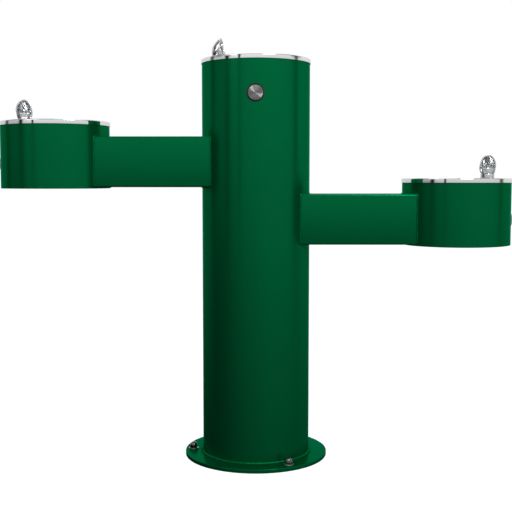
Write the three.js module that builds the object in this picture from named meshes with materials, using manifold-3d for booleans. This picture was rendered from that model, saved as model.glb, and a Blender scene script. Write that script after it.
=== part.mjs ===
// Three-level pedestal drinking fountain, in millimetres, +Z up.
// The origin is the centre of the floor flange's underside. The front faces -Y and the arms run along X.
import * as THREE from 'three';
import { mergeVertices } from 'three/addons/utils/BufferGeometryUtils.js';
import Module from 'manifold-3d';

const wasm = await Module();
wasm.setup();

// ---- Driving dimensions ----------------------------------------------------------------------

const GAP = 0.3;                 // clearance between pieces that touch or seat
const PAST = 5;                  // how far a cutting solid runs past what it cuts
const SIDES = 28;                // facets round the big tubes and bowls
const ROUND = 12;                // facets round the fittings
const PIPE_SIDES = 8;            // facets round the pipes
const THIN_SIDES = 6;            // facets round hoses and small bores
const WIRE_SIDES = 4;
const COIL_STEPS = 7;            // steps in each turn of a spring
const HOOD_SIDES = 14;           // facets round the bubbler's hood
const BEND_STEPS = 3;            // facets along a pipe's bend

const TUBE_R = 136.525;          // post and drums are one pipe size, 273.05 outside
const TUBE_WALL = 4.8;
const POST_TOP = 997.6;          // top of the painted post, under the bowl's skirt
const FOOT_WELD = 5;             // fillet between post and flange

const FLANGE_LIP = 45.475;       // flange beyond the post's outside
const FLANGE_THICK = 10;
const FLANGE_CHAMFER = 1.5;
const FLANGE_OPENING_R = 92;
const ANCHORS = 3;
const ANCHOR_INSET = 20;         // bolt circle, in from the flange's edge
const ANCHOR_HOLE_R = 7.2;
const ANCHOR_SHANK_R = 6.35;
const ANCHOR_FLATS = 19;
const ANCHOR_HEX_HIGH = 7;
const ANCHOR_HEAD_HIGH = 15.2;
const WASHER_R = 12.7;
const WASHER_THICK = 2.4;

const ARM_REACH = 510;           // post axis to drum axis
const ARM_WIDE = 160;
const ARM_HIGH = 125;
const ARM_WALL = 5;
const ARM_CORNER_R = 4;          // outside corners of the rectangular tube
const ARM_LIFT = 3.3;            // arm's underside above the drum's lower edge
const ARM_WINDOW_INSET = 14;     // from the arm's inner sides and roof to the pipe windows
const ARM_WINDOW_SILL = 6;       // from the arm's inner floor to the pipe windows

const DRUM_HIGH = 156.6;         // painted height
const LEFT_DRUM_TOP = 843.1;
const RIGHT_DRUM_TOP = 700.9;
const COVER_THICK = 3;
const COVER_RECESS = 2.5;
const COVER_CLEAR = 1;           // plate's edge to the drum's bore
const COVER_SCREWS = 3;
const COVER_SCREW_HOLE_R = 2.7;
const LUG_WIDE = 18;
const LUG_DEEP = 16;
const LUG_HIGH = 6;

const SHEET = 1.5;               // bowl metal
const SKIRT_HIGH = 11;
const SKIRT_GAP = 0.45;          // skirt's inner face off the tube
const RIM_ROLL_R = 2.4;
const BASIN_CLEAR = 1.725;       // basin's outside, in from the tube's bore
const BASIN_DEEP = 51;
const BASIN_LIP = 2;
const SUMP_R = 24;
const SUMP_DEEP = 3;

const STRAINER_R = 21;
const STRAINER_THICK = 2;
const STRAINER_HOLES = 6;
const STRAINER_HOLE_R = 2.6;
const STRAINER_HOLE_CIRCLE_R = 7.5;
const SHANK_R = 15;              // strainer's threaded shank
const SHANK_BORE_R = 12.4;
const SHANK_TAIL = 8;            // least length of the shank inside the waste pipe
const DRAIN_NUT_FLATS = 40;
const DRAIN_NUT_HIGH = 8;

const BOSS_R = 20;               // bubbler's pad, welded into the basin
const BOSS_TOP = -8;             // below the rim's top
const BOSS_DROP = 0.93;          // boss's lower face, below the basin beside its nut
const BUBBLER_INSET = 31.5;      // bubbler's axis, in from the tube's outside
const COLLAR_R = 17.8;           // bubbler's round base
const COLLAR_CHAMFER = 0.8;
const SEAM = 12;                 // hood's lower edge, above the rim's top
const SPIGOT_R = 13;
const SPIGOT_HIGH = 13;
const HOOD_HIGH = 49;
const HOOD_HALF_WIDE = 21.4;     // at the widest
const HOOD_FOOT_HALF_WIDE = 18;
const HOOD_BACK = 17.6;
const HOOD_FRONT = 17;
const HOOD_LIP = 7.6;            // flat front edge, forward of the bubbler's axis
const HOOD_TIP_DEEP = 2.8;       // thickness of the tip behind that edge
const HOOD_CROWN_FLAT = 0.4;     // the crown stops this far below its full height
const HOOD_BULGE_AT = 18;        // height of the widest section
const HOOD_DOME_POWER = 2.2;     // 2 is an ellipse, more is fuller at the shoulders
const HOOD_SHOULDER_LOW = 15;
const HOOD_SHOULDER_HIGH = 22;
const HOOD_WALL = 2.6;
const HOOD_LIP_WIDE = 4.6;       // face of the lip, each side of the mouth
const HOOD_MOUTH_BACK = 1;       // mouth's widest line, behind the lip's face
const NOZZLE_R = 4.6;
const NOZZLE_LONG = 15;
const NOZZLE_BACK = 3;           // nozzle's root, behind the bubbler's axis
const NOZZLE_TILT = 28;          // degrees towards the opening
const JET_R = 1.6;
const BUBBLER_SHANK_R = 7.4;
const BUBBLER_SHANK_LONG = 54;
const BUBBLER_BORE_R = 2.6;
const BUBBLER_NUT_FLATS = 24;
const BUBBLER_NUT_HIGH = 7;

const BUTTON_R = 19;
const BUTTON_PROUD = 2.7;        // face beyond the tube's outside
const BUTTON_THICK = 8;
const BUTTON_CHAMFER = 1.1;
const BUTTON_DIMPLE_R = 1.3;
const BUTTON_TRAVEL = 5;
const BUTTON_OVERTRAVEL = 1;     // free depth left behind a button pushed home
const BUTTON_STEM_TAIL = 8;      // stem beyond the clip's room
const BUTTON_STEM_R = 6.1;
const CLIP_R = 8.2;              // snap ring that keeps the button in
const CLIP_THICK = 1.5;
const SLEEVE_WALL = 2.3;
const SLEEVE_LONG = 22.5;
const SLEEVE_FLOOR = 7.5;
const SLIDE_GAP = 0.4;           // round everything that the button slides in
const SPRING_MEAN_R = 11;
const SPRING_WIRE_R = 0.8;
const SPRING_TURNS = 3;
const TOP_BUTTON_DROP = 81.8;    // below the painted edge
const SIDE_BUTTON_DROP = 94;

const VALVE_FLANGE_R = 27;
const VALVE_FLANGE_THICK = 4;
const VALVE_SOCKET_WALL = 3;
const VALVE_R = 17;
const VALVE_LONG = 62;
const PORT_R = 7;
const PORT_REACH = 21;           // from the valve's axis to the port's face
const PORT_FROM_END = 12;

const WASTE_R = 19;
const WASTE_WALL = 2;
const WASTE_BEND_R = 34;
const WASTE_FALL = 0.02;         // fall towards the post, per unit length
const WASTE_LIFT = 44.3;         // waste run's axis above the arm's underside, at the drum
const SLIP_GAP = 2;              // drain nut to the waste pipe round the strainer's shank
const TEE_REACH = 50;
const PIPE_END = 8;              // lower ends, above the floor

const RISER_R = 8;
const RISER_BACK = 45;           // riser's axis behind the post's axis
const FEED_R = 4.8;
const COPPER_WALL = 1;
const FEED_BEND_R = 16;
const TOP_FEED_DROP = 56;        // top valve's axis to its feed's level run
const HOSE_R = 3.2;
const HOSE_STEPS = 8;

const STOP_LEVEL = 262;
const STOP_R = 13;
const STOP_LONG = 54;
const STOP_BONNET_R = 9;
const STOP_BONNET_REACH = 21;
const STOP_STEM_R = 3.5;
const STOP_STEM_DEEP = 9;
const STOP_HUB_R = 8;
const STOP_HUB_THICK = 7;
const LEVER_LONG = 52;
const LEVER_WIDE = 12;
const LEVER_THICK = 3;

const DOOR_LOW = 140;
const DOOR_HIGH = 270;
const DOOR_HALF_WIDE = 80;
const DOOR_THICK = 3;
const DOOR_OVERLAP = 20;
const DOOR_CORNER_R = 9;
const DOOR_SCREW_R = 2.4;
const DOOR_SCREW_HEAD_R = 5;
const DOOR_SCREW_HEAD_HIGH = 2.6;

const RIM_TOP = SKIRT_HIGH;      // rim's top above the painted edge
const TUBE_BORE_R = TUBE_R - TUBE_WALL;
const TUBE_END = RIM_TOP - SHEET - GAP;
const SKIRT_R = TUBE_R + SKIRT_GAP + SHEET;
const BASIN_R = TUBE_BORE_R - BASIN_CLEAR - SHEET;
const FLANGE_R = TUBE_R + FLANGE_LIP;
const ANCHOR_CIRCLE_R = FLANGE_R - ANCHOR_INSET;
const BUBBLER_REACH = TUBE_R - BUBBLER_INSET;

const STATIONS = [
  { name: 'top', x: 0, painted: POST_TOP, buttonTurn: -90, buttonDrop: TOP_BUTTON_DROP,
    bubblerTurn: 156, hoodTurn: -14, inlet: 270, outlet: 180, hoseSlack: 60 },
  { name: 'left', x: -ARM_REACH, painted: LEFT_DRUM_TOP, buttonTurn: 180, buttonDrop: SIDE_BUTTON_DROP,
    bubblerTurn: 150, hoodTurn: -90, inlet: 180, outlet: 90, hoseSlack: 16 },
  { name: 'right', x: ARM_REACH, painted: RIGHT_DRUM_TOP, buttonTurn: 0, buttonDrop: SIDE_BUTTON_DROP,
    bubblerTurn: 30, hoodTurn: -90, inlet: 0, outlet: 90, hoseSlack: 16 },
];

// ---- Materials -------------------------------------------------------------------------------

const finish = (color, roughness, metalness) => (
  new THREE.MeshStandardMaterial({ color, roughness, metalness })
);
const PAINT = finish('#00603a', 0.3, 0.1);
const POLISHED = finish('#d5d7d8', 0.12, 1);
const SPUN = finish('#c4c6c8', 0.3, 1);
const DARK = finish('#1a1c1d', 0.5, 0);
const BRASS = finish('#b99a55', 0.35, 1);
const COPPER = finish('#b46a45', 0.35, 1);
const SPRING_STEEL = finish('#9a9da0', 0.35, 1);
const WASTE_PLASTIC = finish('#e4e4e0', 0.5, 0);
const HOSE_PLASTIC = finish('#dfe6ea', 0.4, 0);

// ---- Solid helpers ---------------------------------------------------------------------------

const radians = THREE.MathUtils.degToRad;
const vec = (x, y, z) => new THREE.Vector3(x, y, z);

function toSolid(geometry) {
  const bare = geometry.clone();
  bare.deleteAttribute('normal');
  bare.deleteAttribute('uv');
  const merged = mergeVertices(bare, 1e-4);
  const points = merged.attributes.position.array;
  const corners = merged.index.array;
  const triangles = [];
  let volume = 0;
  const [a, b, c] = [vec(), vec(), vec()];
  for (let i = 0; i < corners.length; i += 3) {
    const [p, q, r] = [corners[i], corners[i + 1], corners[i + 2]];
    if (p === q || q === r || r === p) continue;
    triangles.push([p, q, r]);
    a.fromArray(points, 3 * p);
    b.fromArray(points, 3 * q);
    c.fromArray(points, 3 * r);
    volume += a.dot(b.cross(c));
  }
  const outward = volume < 0 ? triangles.map(([p, q, r]) => [p, r, q]) : triangles;
  return new wasm.Manifold(new wasm.Mesh({
    numProp: 3,
    vertProperties: new Float32Array(points),
    triVerts: new Uint32Array(outward.flat()),
  }));
}

function toGeometry(solid) {
  const { vertProperties, triVerts, numProp } = solid.getMesh();
  const geometry = new THREE.BufferGeometry();
  const positions = new Float32Array((vertProperties.length / numProp) * 3);
  for (let i = 0; i < positions.length / 3; i += 1) {
    positions.set(vertProperties.subarray(i * numProp, i * numProp + 3), i * 3);
  }
  geometry.setAttribute('position', new THREE.BufferAttribute(positions, 3));
  geometry.setIndex(new THREE.BufferAttribute(new Uint32Array(triVerts), 1));
  return geometry;
}

const join = (...solids) => solids.reduce((whole, piece) => whole.add(piece));
const cut = (solid, ...tools) => tools.reduce((whole, tool) => whole.subtract(tool), solid);

const range = (count) => Array.from({ length: count }, (_, i) => i);

// Points along an arc, from one angle to another in degrees.
const rounded = (centreR, centreZ, r, from, to, steps) => range(steps + 1).map((i) => {
  const turn = radians(from + ((to - from) * i) / steps);
  return [centreR + r * Math.cos(turn), centreZ + r * Math.sin(turn)];
});

// A revolve about Z of [radius, height] points, closed on itself or on the axis.
function turned(profile, sides = SIDES) {
  const closesOnAxis = profile[0][0] === 0 && profile.at(-1)[0] === 0;
  const loop = closesOnAxis ? profile : [...profile, profile[0]];
  const lathe = new THREE.LatheGeometry(loop.map(([r, z]) => new THREE.Vector2(r, z)), sides);
  return toSolid(lathe.rotateX(Math.PI / 2));
}

// The same revolve, laid along X: the profile's heights run outwards along +X.
const turnedAlongX = (profile, sides) => turned(profile, sides).rotate([0, 90, 0]);

function block(low, high) {
  const size = high.clone().sub(low);
  const middle = low.clone().add(high).multiplyScalar(0.5);
  return toSolid(new THREE.BoxGeometry(size.x, size.y, size.z).translate(middle.x, middle.y, middle.z));
}

// A rectangle with rounded corners, a closed outline for an extrusion.
function roundedRectangle(left, right, low, high, r) {
  const steps = 2;
  return new THREE.Shape([
    ...rounded(right - r, high - r, r, 0, 90, steps),
    ...rounded(left + r, high - r, r, 90, 180, steps),
    ...rounded(left + r, low + r, r, 180, 270, steps),
    ...rounded(right - r, low + r, r, 270, 360, steps),
  ].map(([u, v]) => new THREE.Vector2(u, v)));
}

// A straight round bar between two points.
function bar(from, to, r, sides = ROUND) {
  const along = to.clone().sub(from);
  const geometry = new THREE.CylinderGeometry(r, r, along.length(), sides);
  const turn = new THREE.Quaternion().setFromUnitVectors(vec(0, 1, 0), along.clone().normalize());
  geometry.applyQuaternion(turn);
  const middle = from.clone().add(to).multiplyScalar(0.5);
  return toSolid(geometry.translate(middle.x, middle.y, middle.z));
}

const tubeCylinder = (x, r, low, high) => bar(vec(x, 0, low), vec(x, 0, high), r, SIDES);
const spaced = (from, to, steps) => range(steps + 1).map((i) => from + ((to - from) * i) / steps);
const hexagon = (flats, low, high) => bar(vec(0, 0, low), vec(0, 0, high), flats / Math.sqrt(3), 6);

function disc(r, sides) {
  const points = range(sides).map((i) => {
    const turn = (2 * Math.PI * i) / sides;
    return new THREE.Vector2(r * Math.cos(turn), r * Math.sin(turn));
  });
  return new THREE.Shape(points);
}

function sweep(curve, r, sides, steps) {
  const options = { steps, bevelEnabled: false, extrudePath: curve };
  return toSolid(new THREE.ExtrudeGeometry(disc(r, sides), options));
}

// A route swept from point to point, one step each.
class Route extends THREE.Curve {
  constructor(points) {
    super();
    this.points = points;
  }

  getPointAt(t, target = vec()) {
    return target.copy(this.points[Math.round(t * (this.points.length - 1))]);
  }

  getTangentAt(t, target = vec()) {
    const last = this.points.length - 1;
    const i = Math.round(t * last);
    const before = this.points[i].clone().sub(this.points[Math.max(0, i - 1)]).normalize();
    const after = this.points[Math.min(last, i + 1)].clone().sub(this.points[i]).normalize();
    return target.addVectors(before, after).normalize();
  }
}

// A solid line through points, bent round its corners.
function line(points, r, bendR, sides) {
  const corners = points.slice(1, -1).flatMap((corner, i) => {
    const back = points[i].clone().sub(corner).setLength(bendR).add(corner);
    const ahead = points[i + 2].clone().sub(corner).setLength(bendR).add(corner);
    return new THREE.QuadraticBezierCurve3(back, corner, ahead).getPoints(BEND_STEPS);
  });
  const route = [points[0], ...corners, points.at(-1)];
  return sweep(new Route(route), r, sides, route.length - 1);
}

// The same line, its ends moved out, for a bore that opens at both.
function overlong(points, extra) {
  const ends = points.map((point) => point.clone());
  ends[0].addScaledVector(points[0].clone().sub(points[1]).normalize(), extra);
  ends.at(-1).addScaledVector(points.at(-1).clone().sub(points.at(-2)).normalize(), extra);
  return ends;
}

// A closed loft through rings of equal length, capped at both ends.
function loft(rings) {
  const sides = rings[0].length;
  const positions = rings.flat().flatMap((point) => [point.x, point.y, point.z]);
  const middle = (ring) => ring.reduce((sum, point) => sum.add(point), vec(0, 0, 0)).divideScalar(sides);
  const lower = rings.length * sides;
  positions.push(...middle(rings[0]).toArray(), ...middle(rings.at(-1)).toArray());
  const faces = [];
  for (let k = 0; k < sides; k += 1) {
    const next = (k + 1) % sides;
    for (let j = 0; j < rings.length - 1; j += 1) {
      const [a, b] = [j * sides + k, j * sides + next];
      faces.push(a, b, b + sides, a, b + sides, a + sides);
    }
    const last = (rings.length - 1) * sides;
    faces.push(lower, next, k, lower + 1, last + k, last + next);
  }
  const geometry = new THREE.BufferGeometry();
  geometry.setAttribute('position', new THREE.Float32BufferAttribute(positions, 3));
  geometry.setIndex(faces);
  return toSolid(geometry);
}

function node(name, solid, material) {
  const mesh = new THREE.Mesh(toGeometry(solid), material);
  mesh.name = name;
  return mesh;
}

// ---- Frames of each station ------------------------------------------------------------------

// +X of this frame is the button's outward axis, through the tube's axis at the button's height.
function buttonFrame(station) {
  const frame = new THREE.Group();
  frame.position.set(station.x, 0, station.painted - station.buttonDrop);
  frame.rotation.z = radians(station.buttonTurn);
  frame.updateMatrix();
  return frame;
}

// The origin of this frame is on the bubbler's axis at the rim's height, and +X is its opening.
function bubblerFrame(station) {
  const turn = radians(station.bubblerTurn);
  const [x, y] = [BUBBLER_REACH * Math.cos(turn), BUBBLER_REACH * Math.sin(turn)];
  const frame = new THREE.Group();
  frame.position.set(station.x + x, y, station.painted + RIM_TOP);
  frame.rotation.z = radians(station.hoodTurn);
  frame.updateMatrix();
  return frame;
}

const SLEEVE_FACE = Math.sqrt(TUBE_R ** 2 - (BUTTON_R + SLIDE_GAP + SLEEVE_WALL + GAP) ** 2);
const SLEEVE_END = SLEEVE_FACE - SLEEVE_LONG;
const SLEEVE_R = BUTTON_R + SLIDE_GAP + SLEEVE_WALL;
const BORE_FLAT_R = TUBE_BORE_R * Math.cos(Math.PI / SIDES);
const VALVE_FACE = Math.sqrt(BORE_FLAT_R ** 2 - VALVE_FLANGE_R ** 2) - GAP;
const VALVE_END = VALVE_FACE - VALVE_LONG;
const PORT_AT = VALVE_END + PORT_FROM_END;

// A point on a valve port's axis, in the whole fountain's frame.
function portPoint(station, turn, reach) {
  const local = vec(PORT_AT, reach * Math.cos(radians(turn)), reach * Math.sin(radians(turn)));
  return local.applyMatrix4(buttonFrame(station).matrix);
}

const armLow = (station) => station.painted - DRUM_HIGH + ARM_LIFT;
const wasteLevel = (station, x) => armLow(station) + WASTE_LIFT - WASTE_FALL * (ARM_REACH - Math.abs(x));

// ---- Post, flange and anchors ----------------------------------------------------------------

// The opening that an arm's pipes pass through, in the wall at this distance from the post.
function pipeWindow(station, wallX) {
  const halfWide = ARM_WIDE / 2 - ARM_WALL - ARM_WINDOW_INSET;
  const low = armLow(station) + ARM_WALL + ARM_WINDOW_SILL;
  const high = armLow(station) + ARM_HIGH - ARM_WALL - ARM_WINDOW_INSET;
  const throughWall = TUBE_R / 3;
  return block(vec(wallX - throughWall, -halfWide, low), vec(wallX + throughWall, halfWide, high));
}

function buttonHole(station) {
  const alongX = bar(vec(TUBE_R / 2, 0, 0), vec(TUBE_R + PAST, 0, 0), SLEEVE_R + GAP, ROUND);
  const outwards = alongX.rotate([0, 0, station.buttonTurn]);
  return outwards.translate([station.x, 0, station.painted - station.buttonDrop]);
}

function doorScrewSpots() {
  const across = Math.asin((DOOR_HALF_WIDE - DOOR_OVERLAP / 2) / TUBE_R);
  const heights = [DOOR_LOW + DOOR_OVERLAP / 2, DOOR_LOW + DOOR_HIGH - DOOR_OVERLAP / 2];
  return heights.flatMap((z) => [-across, across].map((turn) => ({ turn, z })));
}

function alongDoorScrew({ turn, z }, reach) {
  return vec(reach * Math.sin(turn), reach * Math.cos(turn), z);
}

const doorScrewBar = (spot, from, to, r) => (
  bar(alongDoorScrew(spot, from), alongDoorScrew(spot, to), r, PIPE_SIDES)
);

function makePost() {
  const foot = FLANGE_THICK + GAP;
  const shell = turned([
    [TUBE_BORE_R, foot],
    [TUBE_BORE_R, POST_TOP + TUBE_END],
    [TUBE_R, POST_TOP + TUBE_END],
    [TUBE_R, foot + FOOT_WELD],
    [TUBE_R + FOOT_WELD, foot],
  ]);
  const halfDoor = DOOR_HALF_WIDE - DOOR_OVERLAP;
  const doorway = block(
    vec(-halfDoor, TUBE_R / 2, DOOR_LOW + DOOR_OVERLAP),
    vec(halfDoor, TUBE_R + PAST, DOOR_LOW + DOOR_HIGH - DOOR_OVERLAP),
  );
  const screwHoles = doorScrewSpots().map((spot) => (
    doorScrewBar(spot, TUBE_BORE_R - PAST, TUBE_R + PAST, DOOR_SCREW_R + GAP)
  ));
  const [top, left, right] = STATIONS;
  return cut(
    shell,
    buttonHole(top),
    pipeWindow(left, -TUBE_R),
    pipeWindow(right, TUBE_R),
    doorway,
    ...screwHoles,
  );
}

function makeFlange() {
  const plate = turned([
    [FLANGE_OPENING_R, 0],
    [FLANGE_OPENING_R, FLANGE_THICK],
    [FLANGE_R - FLANGE_CHAMFER, FLANGE_THICK],
    [FLANGE_R, FLANGE_THICK - FLANGE_CHAMFER],
    [FLANGE_R, 0],
  ]);
  const holes = anchorSpots().map(([x, y]) => (
    bar(vec(x, y, -PAST), vec(x, y, FLANGE_THICK + PAST), ANCHOR_HOLE_R, ROUND)
  ));
  return cut(plate, ...holes);
}

function anchorSpots() {
  return range(ANCHORS).map((i) => {
    const turn = Math.PI + (2 * Math.PI * i) / ANCHORS;
    return [ANCHOR_CIRCLE_R * Math.cos(turn), ANCHOR_CIRCLE_R * Math.sin(turn)];
  });
}

const makeWasher = () => turned([
  [ANCHOR_HOLE_R, 0],
  [ANCHOR_HOLE_R, WASHER_THICK],
  [WASHER_R, WASHER_THICK],
  [WASHER_R, 0],
], ROUND);

// Its origin is at the underside of the hexagon.
function makeAnchor() {
  const domeR = ANCHOR_FLATS / 2;
  const domeHigh = ANCHOR_HEAD_HIGH - ANCHOR_HEX_HIGH;
  const dome = rounded(0, 0, 1, 0, 60, 2).map(([r, z]) => [domeR * r, ANCHOR_HEX_HIGH + domeHigh * z]);
  const cap = turned([[0, 0], [domeR, 0], ...dome, [0, ANCHOR_HEAD_HIGH]], ROUND);
  const shankLow = -FLANGE_THICK - WASHER_THICK - GAP;
  const shank = bar(vec(0, 0, shankLow), vec(0, 0, ANCHOR_HEX_HIGH / 2), ANCHOR_SHANK_R, ROUND);
  return join(hexagon(ANCHOR_FLATS, 0, ANCHOR_HEX_HIGH), cap, shank);
}

function makeDoor() {
  const inside = TUBE_R + GAP;
  const top = DOOR_LOW + DOOR_HIGH;
  const ring = cut(
    tubeCylinder(0, inside + DOOR_THICK, DOOR_LOW - PAST, top + PAST),
    tubeCylinder(0, inside, DOOR_LOW - 2 * PAST, top + 2 * PAST),
  );
  const outline = roundedRectangle(-DOOR_HALF_WIDE, DOOR_HALF_WIDE, DOOR_LOW, top, DOOR_CORNER_R);
  const behind = new THREE.ExtrudeGeometry(outline, { depth: TUBE_R + 2 * PAST, bevelEnabled: false });
  const panel = toSolid(behind.rotateX(Math.PI / 2).scale(1, -1, 1));
  const outsideR = TUBE_R + DOOR_THICK + PAST;
  const holes = doorScrewSpots().map((spot) => (
    doorScrewBar(spot, TUBE_R - PAST, outsideR, DOOR_SCREW_R + GAP)
  ));
  return cut(ring.intersect(panel), ...holes);
}

function makeDoorScrew(spot) {
  const seat = TUBE_R + 2 * GAP + DOOR_THICK;
  return join(
    doorScrewBar(spot, TUBE_BORE_R - PAST, seat + GAP, DOOR_SCREW_R),
    doorScrewBar(spot, seat, seat + DOOR_SCREW_HEAD_HIGH, DOOR_SCREW_HEAD_R),
  );
}

// ---- Arms and drums --------------------------------------------------------------------------

// A rectangular tube whose ends are coped round the post and the drum.
function makeArm(station) {
  const side = Math.sign(station.x);
  const low = armLow(station);
  const half = ARM_WIDE / 2;
  const high = low + ARM_HIGH;
  const insideTube = TUBE_R / 2;
  const outline = roundedRectangle(-half, half, low, high, ARM_CORNER_R);
  const length = ARM_REACH - 2 * insideTube;
  const alongZ = new THREE.ExtrudeGeometry(outline, { depth: length, bevelEnabled: false });
  const alongX = toSolid(alongZ.rotateX(Math.PI / 2).rotateZ(Math.PI / 2));
  const outer = alongX.translate([side > 0 ? insideTube : -insideTube - length, 0, 0]);
  const inner = block(
    vec(Math.min(0, station.x), ARM_WALL - half, low + ARM_WALL),
    vec(Math.max(0, station.x), half - ARM_WALL, high - ARM_WALL),
  );
  return cut(
    outer,
    inner,
    tubeCylinder(0, TUBE_R + GAP, low - PAST, high + PAST),
    tubeCylinder(station.x, TUBE_R + GAP, low - PAST, high + PAST),
  );
}

const coverScrewTurns = () => range(COVER_SCREWS).map((i) => 90 + (360 * i) / COVER_SCREWS);
const COVER_SCREW_CIRCLE_R = TUBE_BORE_R - LUG_DEEP / 2;

// Its origin is on the axis at the lower edge.
function drumShell() {
  const shell = turned([
    [TUBE_BORE_R, 0],
    [TUBE_BORE_R, DRUM_HIGH + TUBE_END],
    [TUBE_R, DRUM_HIGH + TUBE_END],
    [TUBE_R, 0],
  ]);
  const lugLow = COVER_RECESS + COVER_THICK + GAP;
  const lug = block(
    vec(TUBE_BORE_R - LUG_DEEP, -LUG_WIDE / 2, lugLow),
    vec(TUBE_BORE_R + TUBE_WALL / 2, LUG_WIDE / 2, lugLow + LUG_HIGH),
  );
  const hole = bar(
    vec(COVER_SCREW_CIRCLE_R, 0, lugLow - PAST),
    vec(COVER_SCREW_CIRCLE_R, 0, lugLow + LUG_HIGH + PAST),
    COVER_SCREW_HOLE_R,
    PIPE_SIDES,
  );
  return join(shell, ...coverScrewTurns().map((turn) => cut(lug, hole).rotate([0, 0, turn])));
}

function makeDrum(station) {
  const side = Math.sign(station.x);
  const shell = drumShell().translate([station.x, 0, station.painted - DRUM_HIGH]);
  return cut(shell, buttonHole(station), pipeWindow(station, side * (ARM_REACH - TUBE_R)));
}

// Its origin is on the axis at the plate's underside.
function makeCover() {
  const plate = turned([
    [0, 0],
    [TUBE_BORE_R - COVER_CLEAR, 0],
    [TUBE_BORE_R - COVER_CLEAR, COVER_THICK],
    [0, COVER_THICK],
  ]);
  const hole = bar(
    vec(COVER_SCREW_CIRCLE_R, 0, -PAST),
    vec(COVER_SCREW_CIRCLE_R, 0, COVER_THICK + PAST),
    COVER_SCREW_HOLE_R,
    PIPE_SIDES,
  );
  return cut(plate, ...coverScrewTurns().map((turn) => hole.rotate([0, 0, turn])));
}

// ---- Bowl and drain: the origin is on the bowl's axis at the rim's top --------------------------

// A quarter ellipse from the basin's wall down to the edge of the sump.
function basinCurve(wallR, deep, steps) {
  return range(steps + 1).map((i) => {
    const turn = radians((90 * i) / steps);
    return [SUMP_R + (wallR - SUMP_R) * Math.cos(turn), -BASIN_LIP - (deep - BASIN_LIP) * Math.sin(turn)];
  });
}

// The height of the basin's curve at a radius, below the rim's top.
function basinLevel(r, wallR, deep) {
  const across = (r - SUMP_R) / (wallR - SUMP_R);
  return -BASIN_LIP - (deep - BASIN_LIP) * Math.sqrt(1 - across ** 2);
}

const SUMP_FLOOR = -BASIN_DEEP - SUMP_DEEP;
const BASIN_STEPS = 4;
const NUT_CORNER_R = BUBBLER_NUT_FLATS / Math.sqrt(3);
const BOSS_LOW = basinLevel(BUBBLER_REACH - NUT_CORNER_R, BASIN_R + SHEET, BASIN_DEEP + SHEET) - BOSS_DROP;

// Under a drum's drain the waste pipe drops and bends towards the post. The shank ends above the bend.
const DRAIN_LOW = SUMP_FLOOR - SHEET - 2 * GAP - DRAIN_NUT_HIGH - SLIP_GAP;
const WASTE_LEG = RIM_TOP + DRAIN_LOW + DRUM_HIGH - ARM_LIFT - WASTE_LIFT;
const WASTE_BEND = Math.min(WASTE_BEND_R, WASTE_LEG - SHANK_TAIL);
const SHANK_LOW = DRAIN_LOW - WASTE_LEG + WASTE_BEND + SLIP_GAP;

function makeBowl(station) {
  const sheet = turned([
    [SKIRT_R, -SKIRT_HIGH],
    ...rounded(SKIRT_R - RIM_ROLL_R, -RIM_ROLL_R, RIM_ROLL_R, 0, 90, 2),
    ...rounded(BASIN_R + BASIN_LIP, -BASIN_LIP, BASIN_LIP, 90, 180, 1),
    ...basinCurve(BASIN_R, BASIN_DEEP, BASIN_STEPS).slice(1),
    [SUMP_R - SHEET, SUMP_FLOOR],
    [SHANK_R + GAP, SUMP_FLOOR],
    [SHANK_R + GAP, SUMP_FLOOR - SHEET],
    [SUMP_R + SHEET, SUMP_FLOOR - SHEET],
    ...basinCurve(BASIN_R + SHEET, BASIN_DEEP + SHEET, BASIN_STEPS).slice(0, BASIN_STEPS).reverse(),
    [BASIN_R + SHEET, -SHEET],
    [SKIRT_R - SHEET, -SHEET],
    [SKIRT_R - SHEET, -SKIRT_HIGH],
  ]);
  const turn = radians(station.bubblerTurn);
  const spot = [BUBBLER_REACH * Math.cos(turn), BUBBLER_REACH * Math.sin(turn)];
  const boss = bar(vec(...spot, BOSS_LOW), vec(...spot, BOSS_TOP), BOSS_R, ROUND);
  const holeR = BUBBLER_SHANK_R + GAP;
  const hole = bar(vec(...spot, BOSS_LOW - PAST), vec(...spot, BOSS_TOP + PAST), holeR, ROUND);
  return cut(join(sheet, boss), hole);
}

function makeStrainer() {
  const seat = SUMP_FLOOR + GAP;
  const body = turned([
    [0, seat],
    [0, seat + STRAINER_THICK],
    [STRAINER_R - STRAINER_THICK / 2, seat + STRAINER_THICK],
    [STRAINER_R, seat],
    [SHANK_R, seat],
    [SHANK_R, SHANK_LOW],
    [SHANK_BORE_R, SHANK_LOW],
    [SHANK_BORE_R, seat],
  ], ROUND);
  const hole = bar(
    vec(STRAINER_HOLE_CIRCLE_R, 0, seat - PAST),
    vec(STRAINER_HOLE_CIRCLE_R, 0, seat + STRAINER_THICK + PAST),
    STRAINER_HOLE_R,
    THIN_SIDES,
  );
  const holes = range(STRAINER_HOLES).map((i) => hole.rotate([0, 0, (360 * i) / STRAINER_HOLES]));
  return cut(body, ...holes);
}

function makeDrainNut() {
  const top = SUMP_FLOOR - SHEET - GAP;
  const bore = bar(vec(0, 0, top - DRAIN_NUT_HIGH - PAST), vec(0, 0, top + PAST), SHANK_R + GAP, ROUND);
  return cut(hexagon(DRAIN_NUT_FLATS, top - DRAIN_NUT_HIGH, top), bore);
}

// ---- Bubbler: the origin is on its axis at the rim's height, and +X is the opening ---------------

const aboveSeam = (z) => SEAM + GAP + z;

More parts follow.
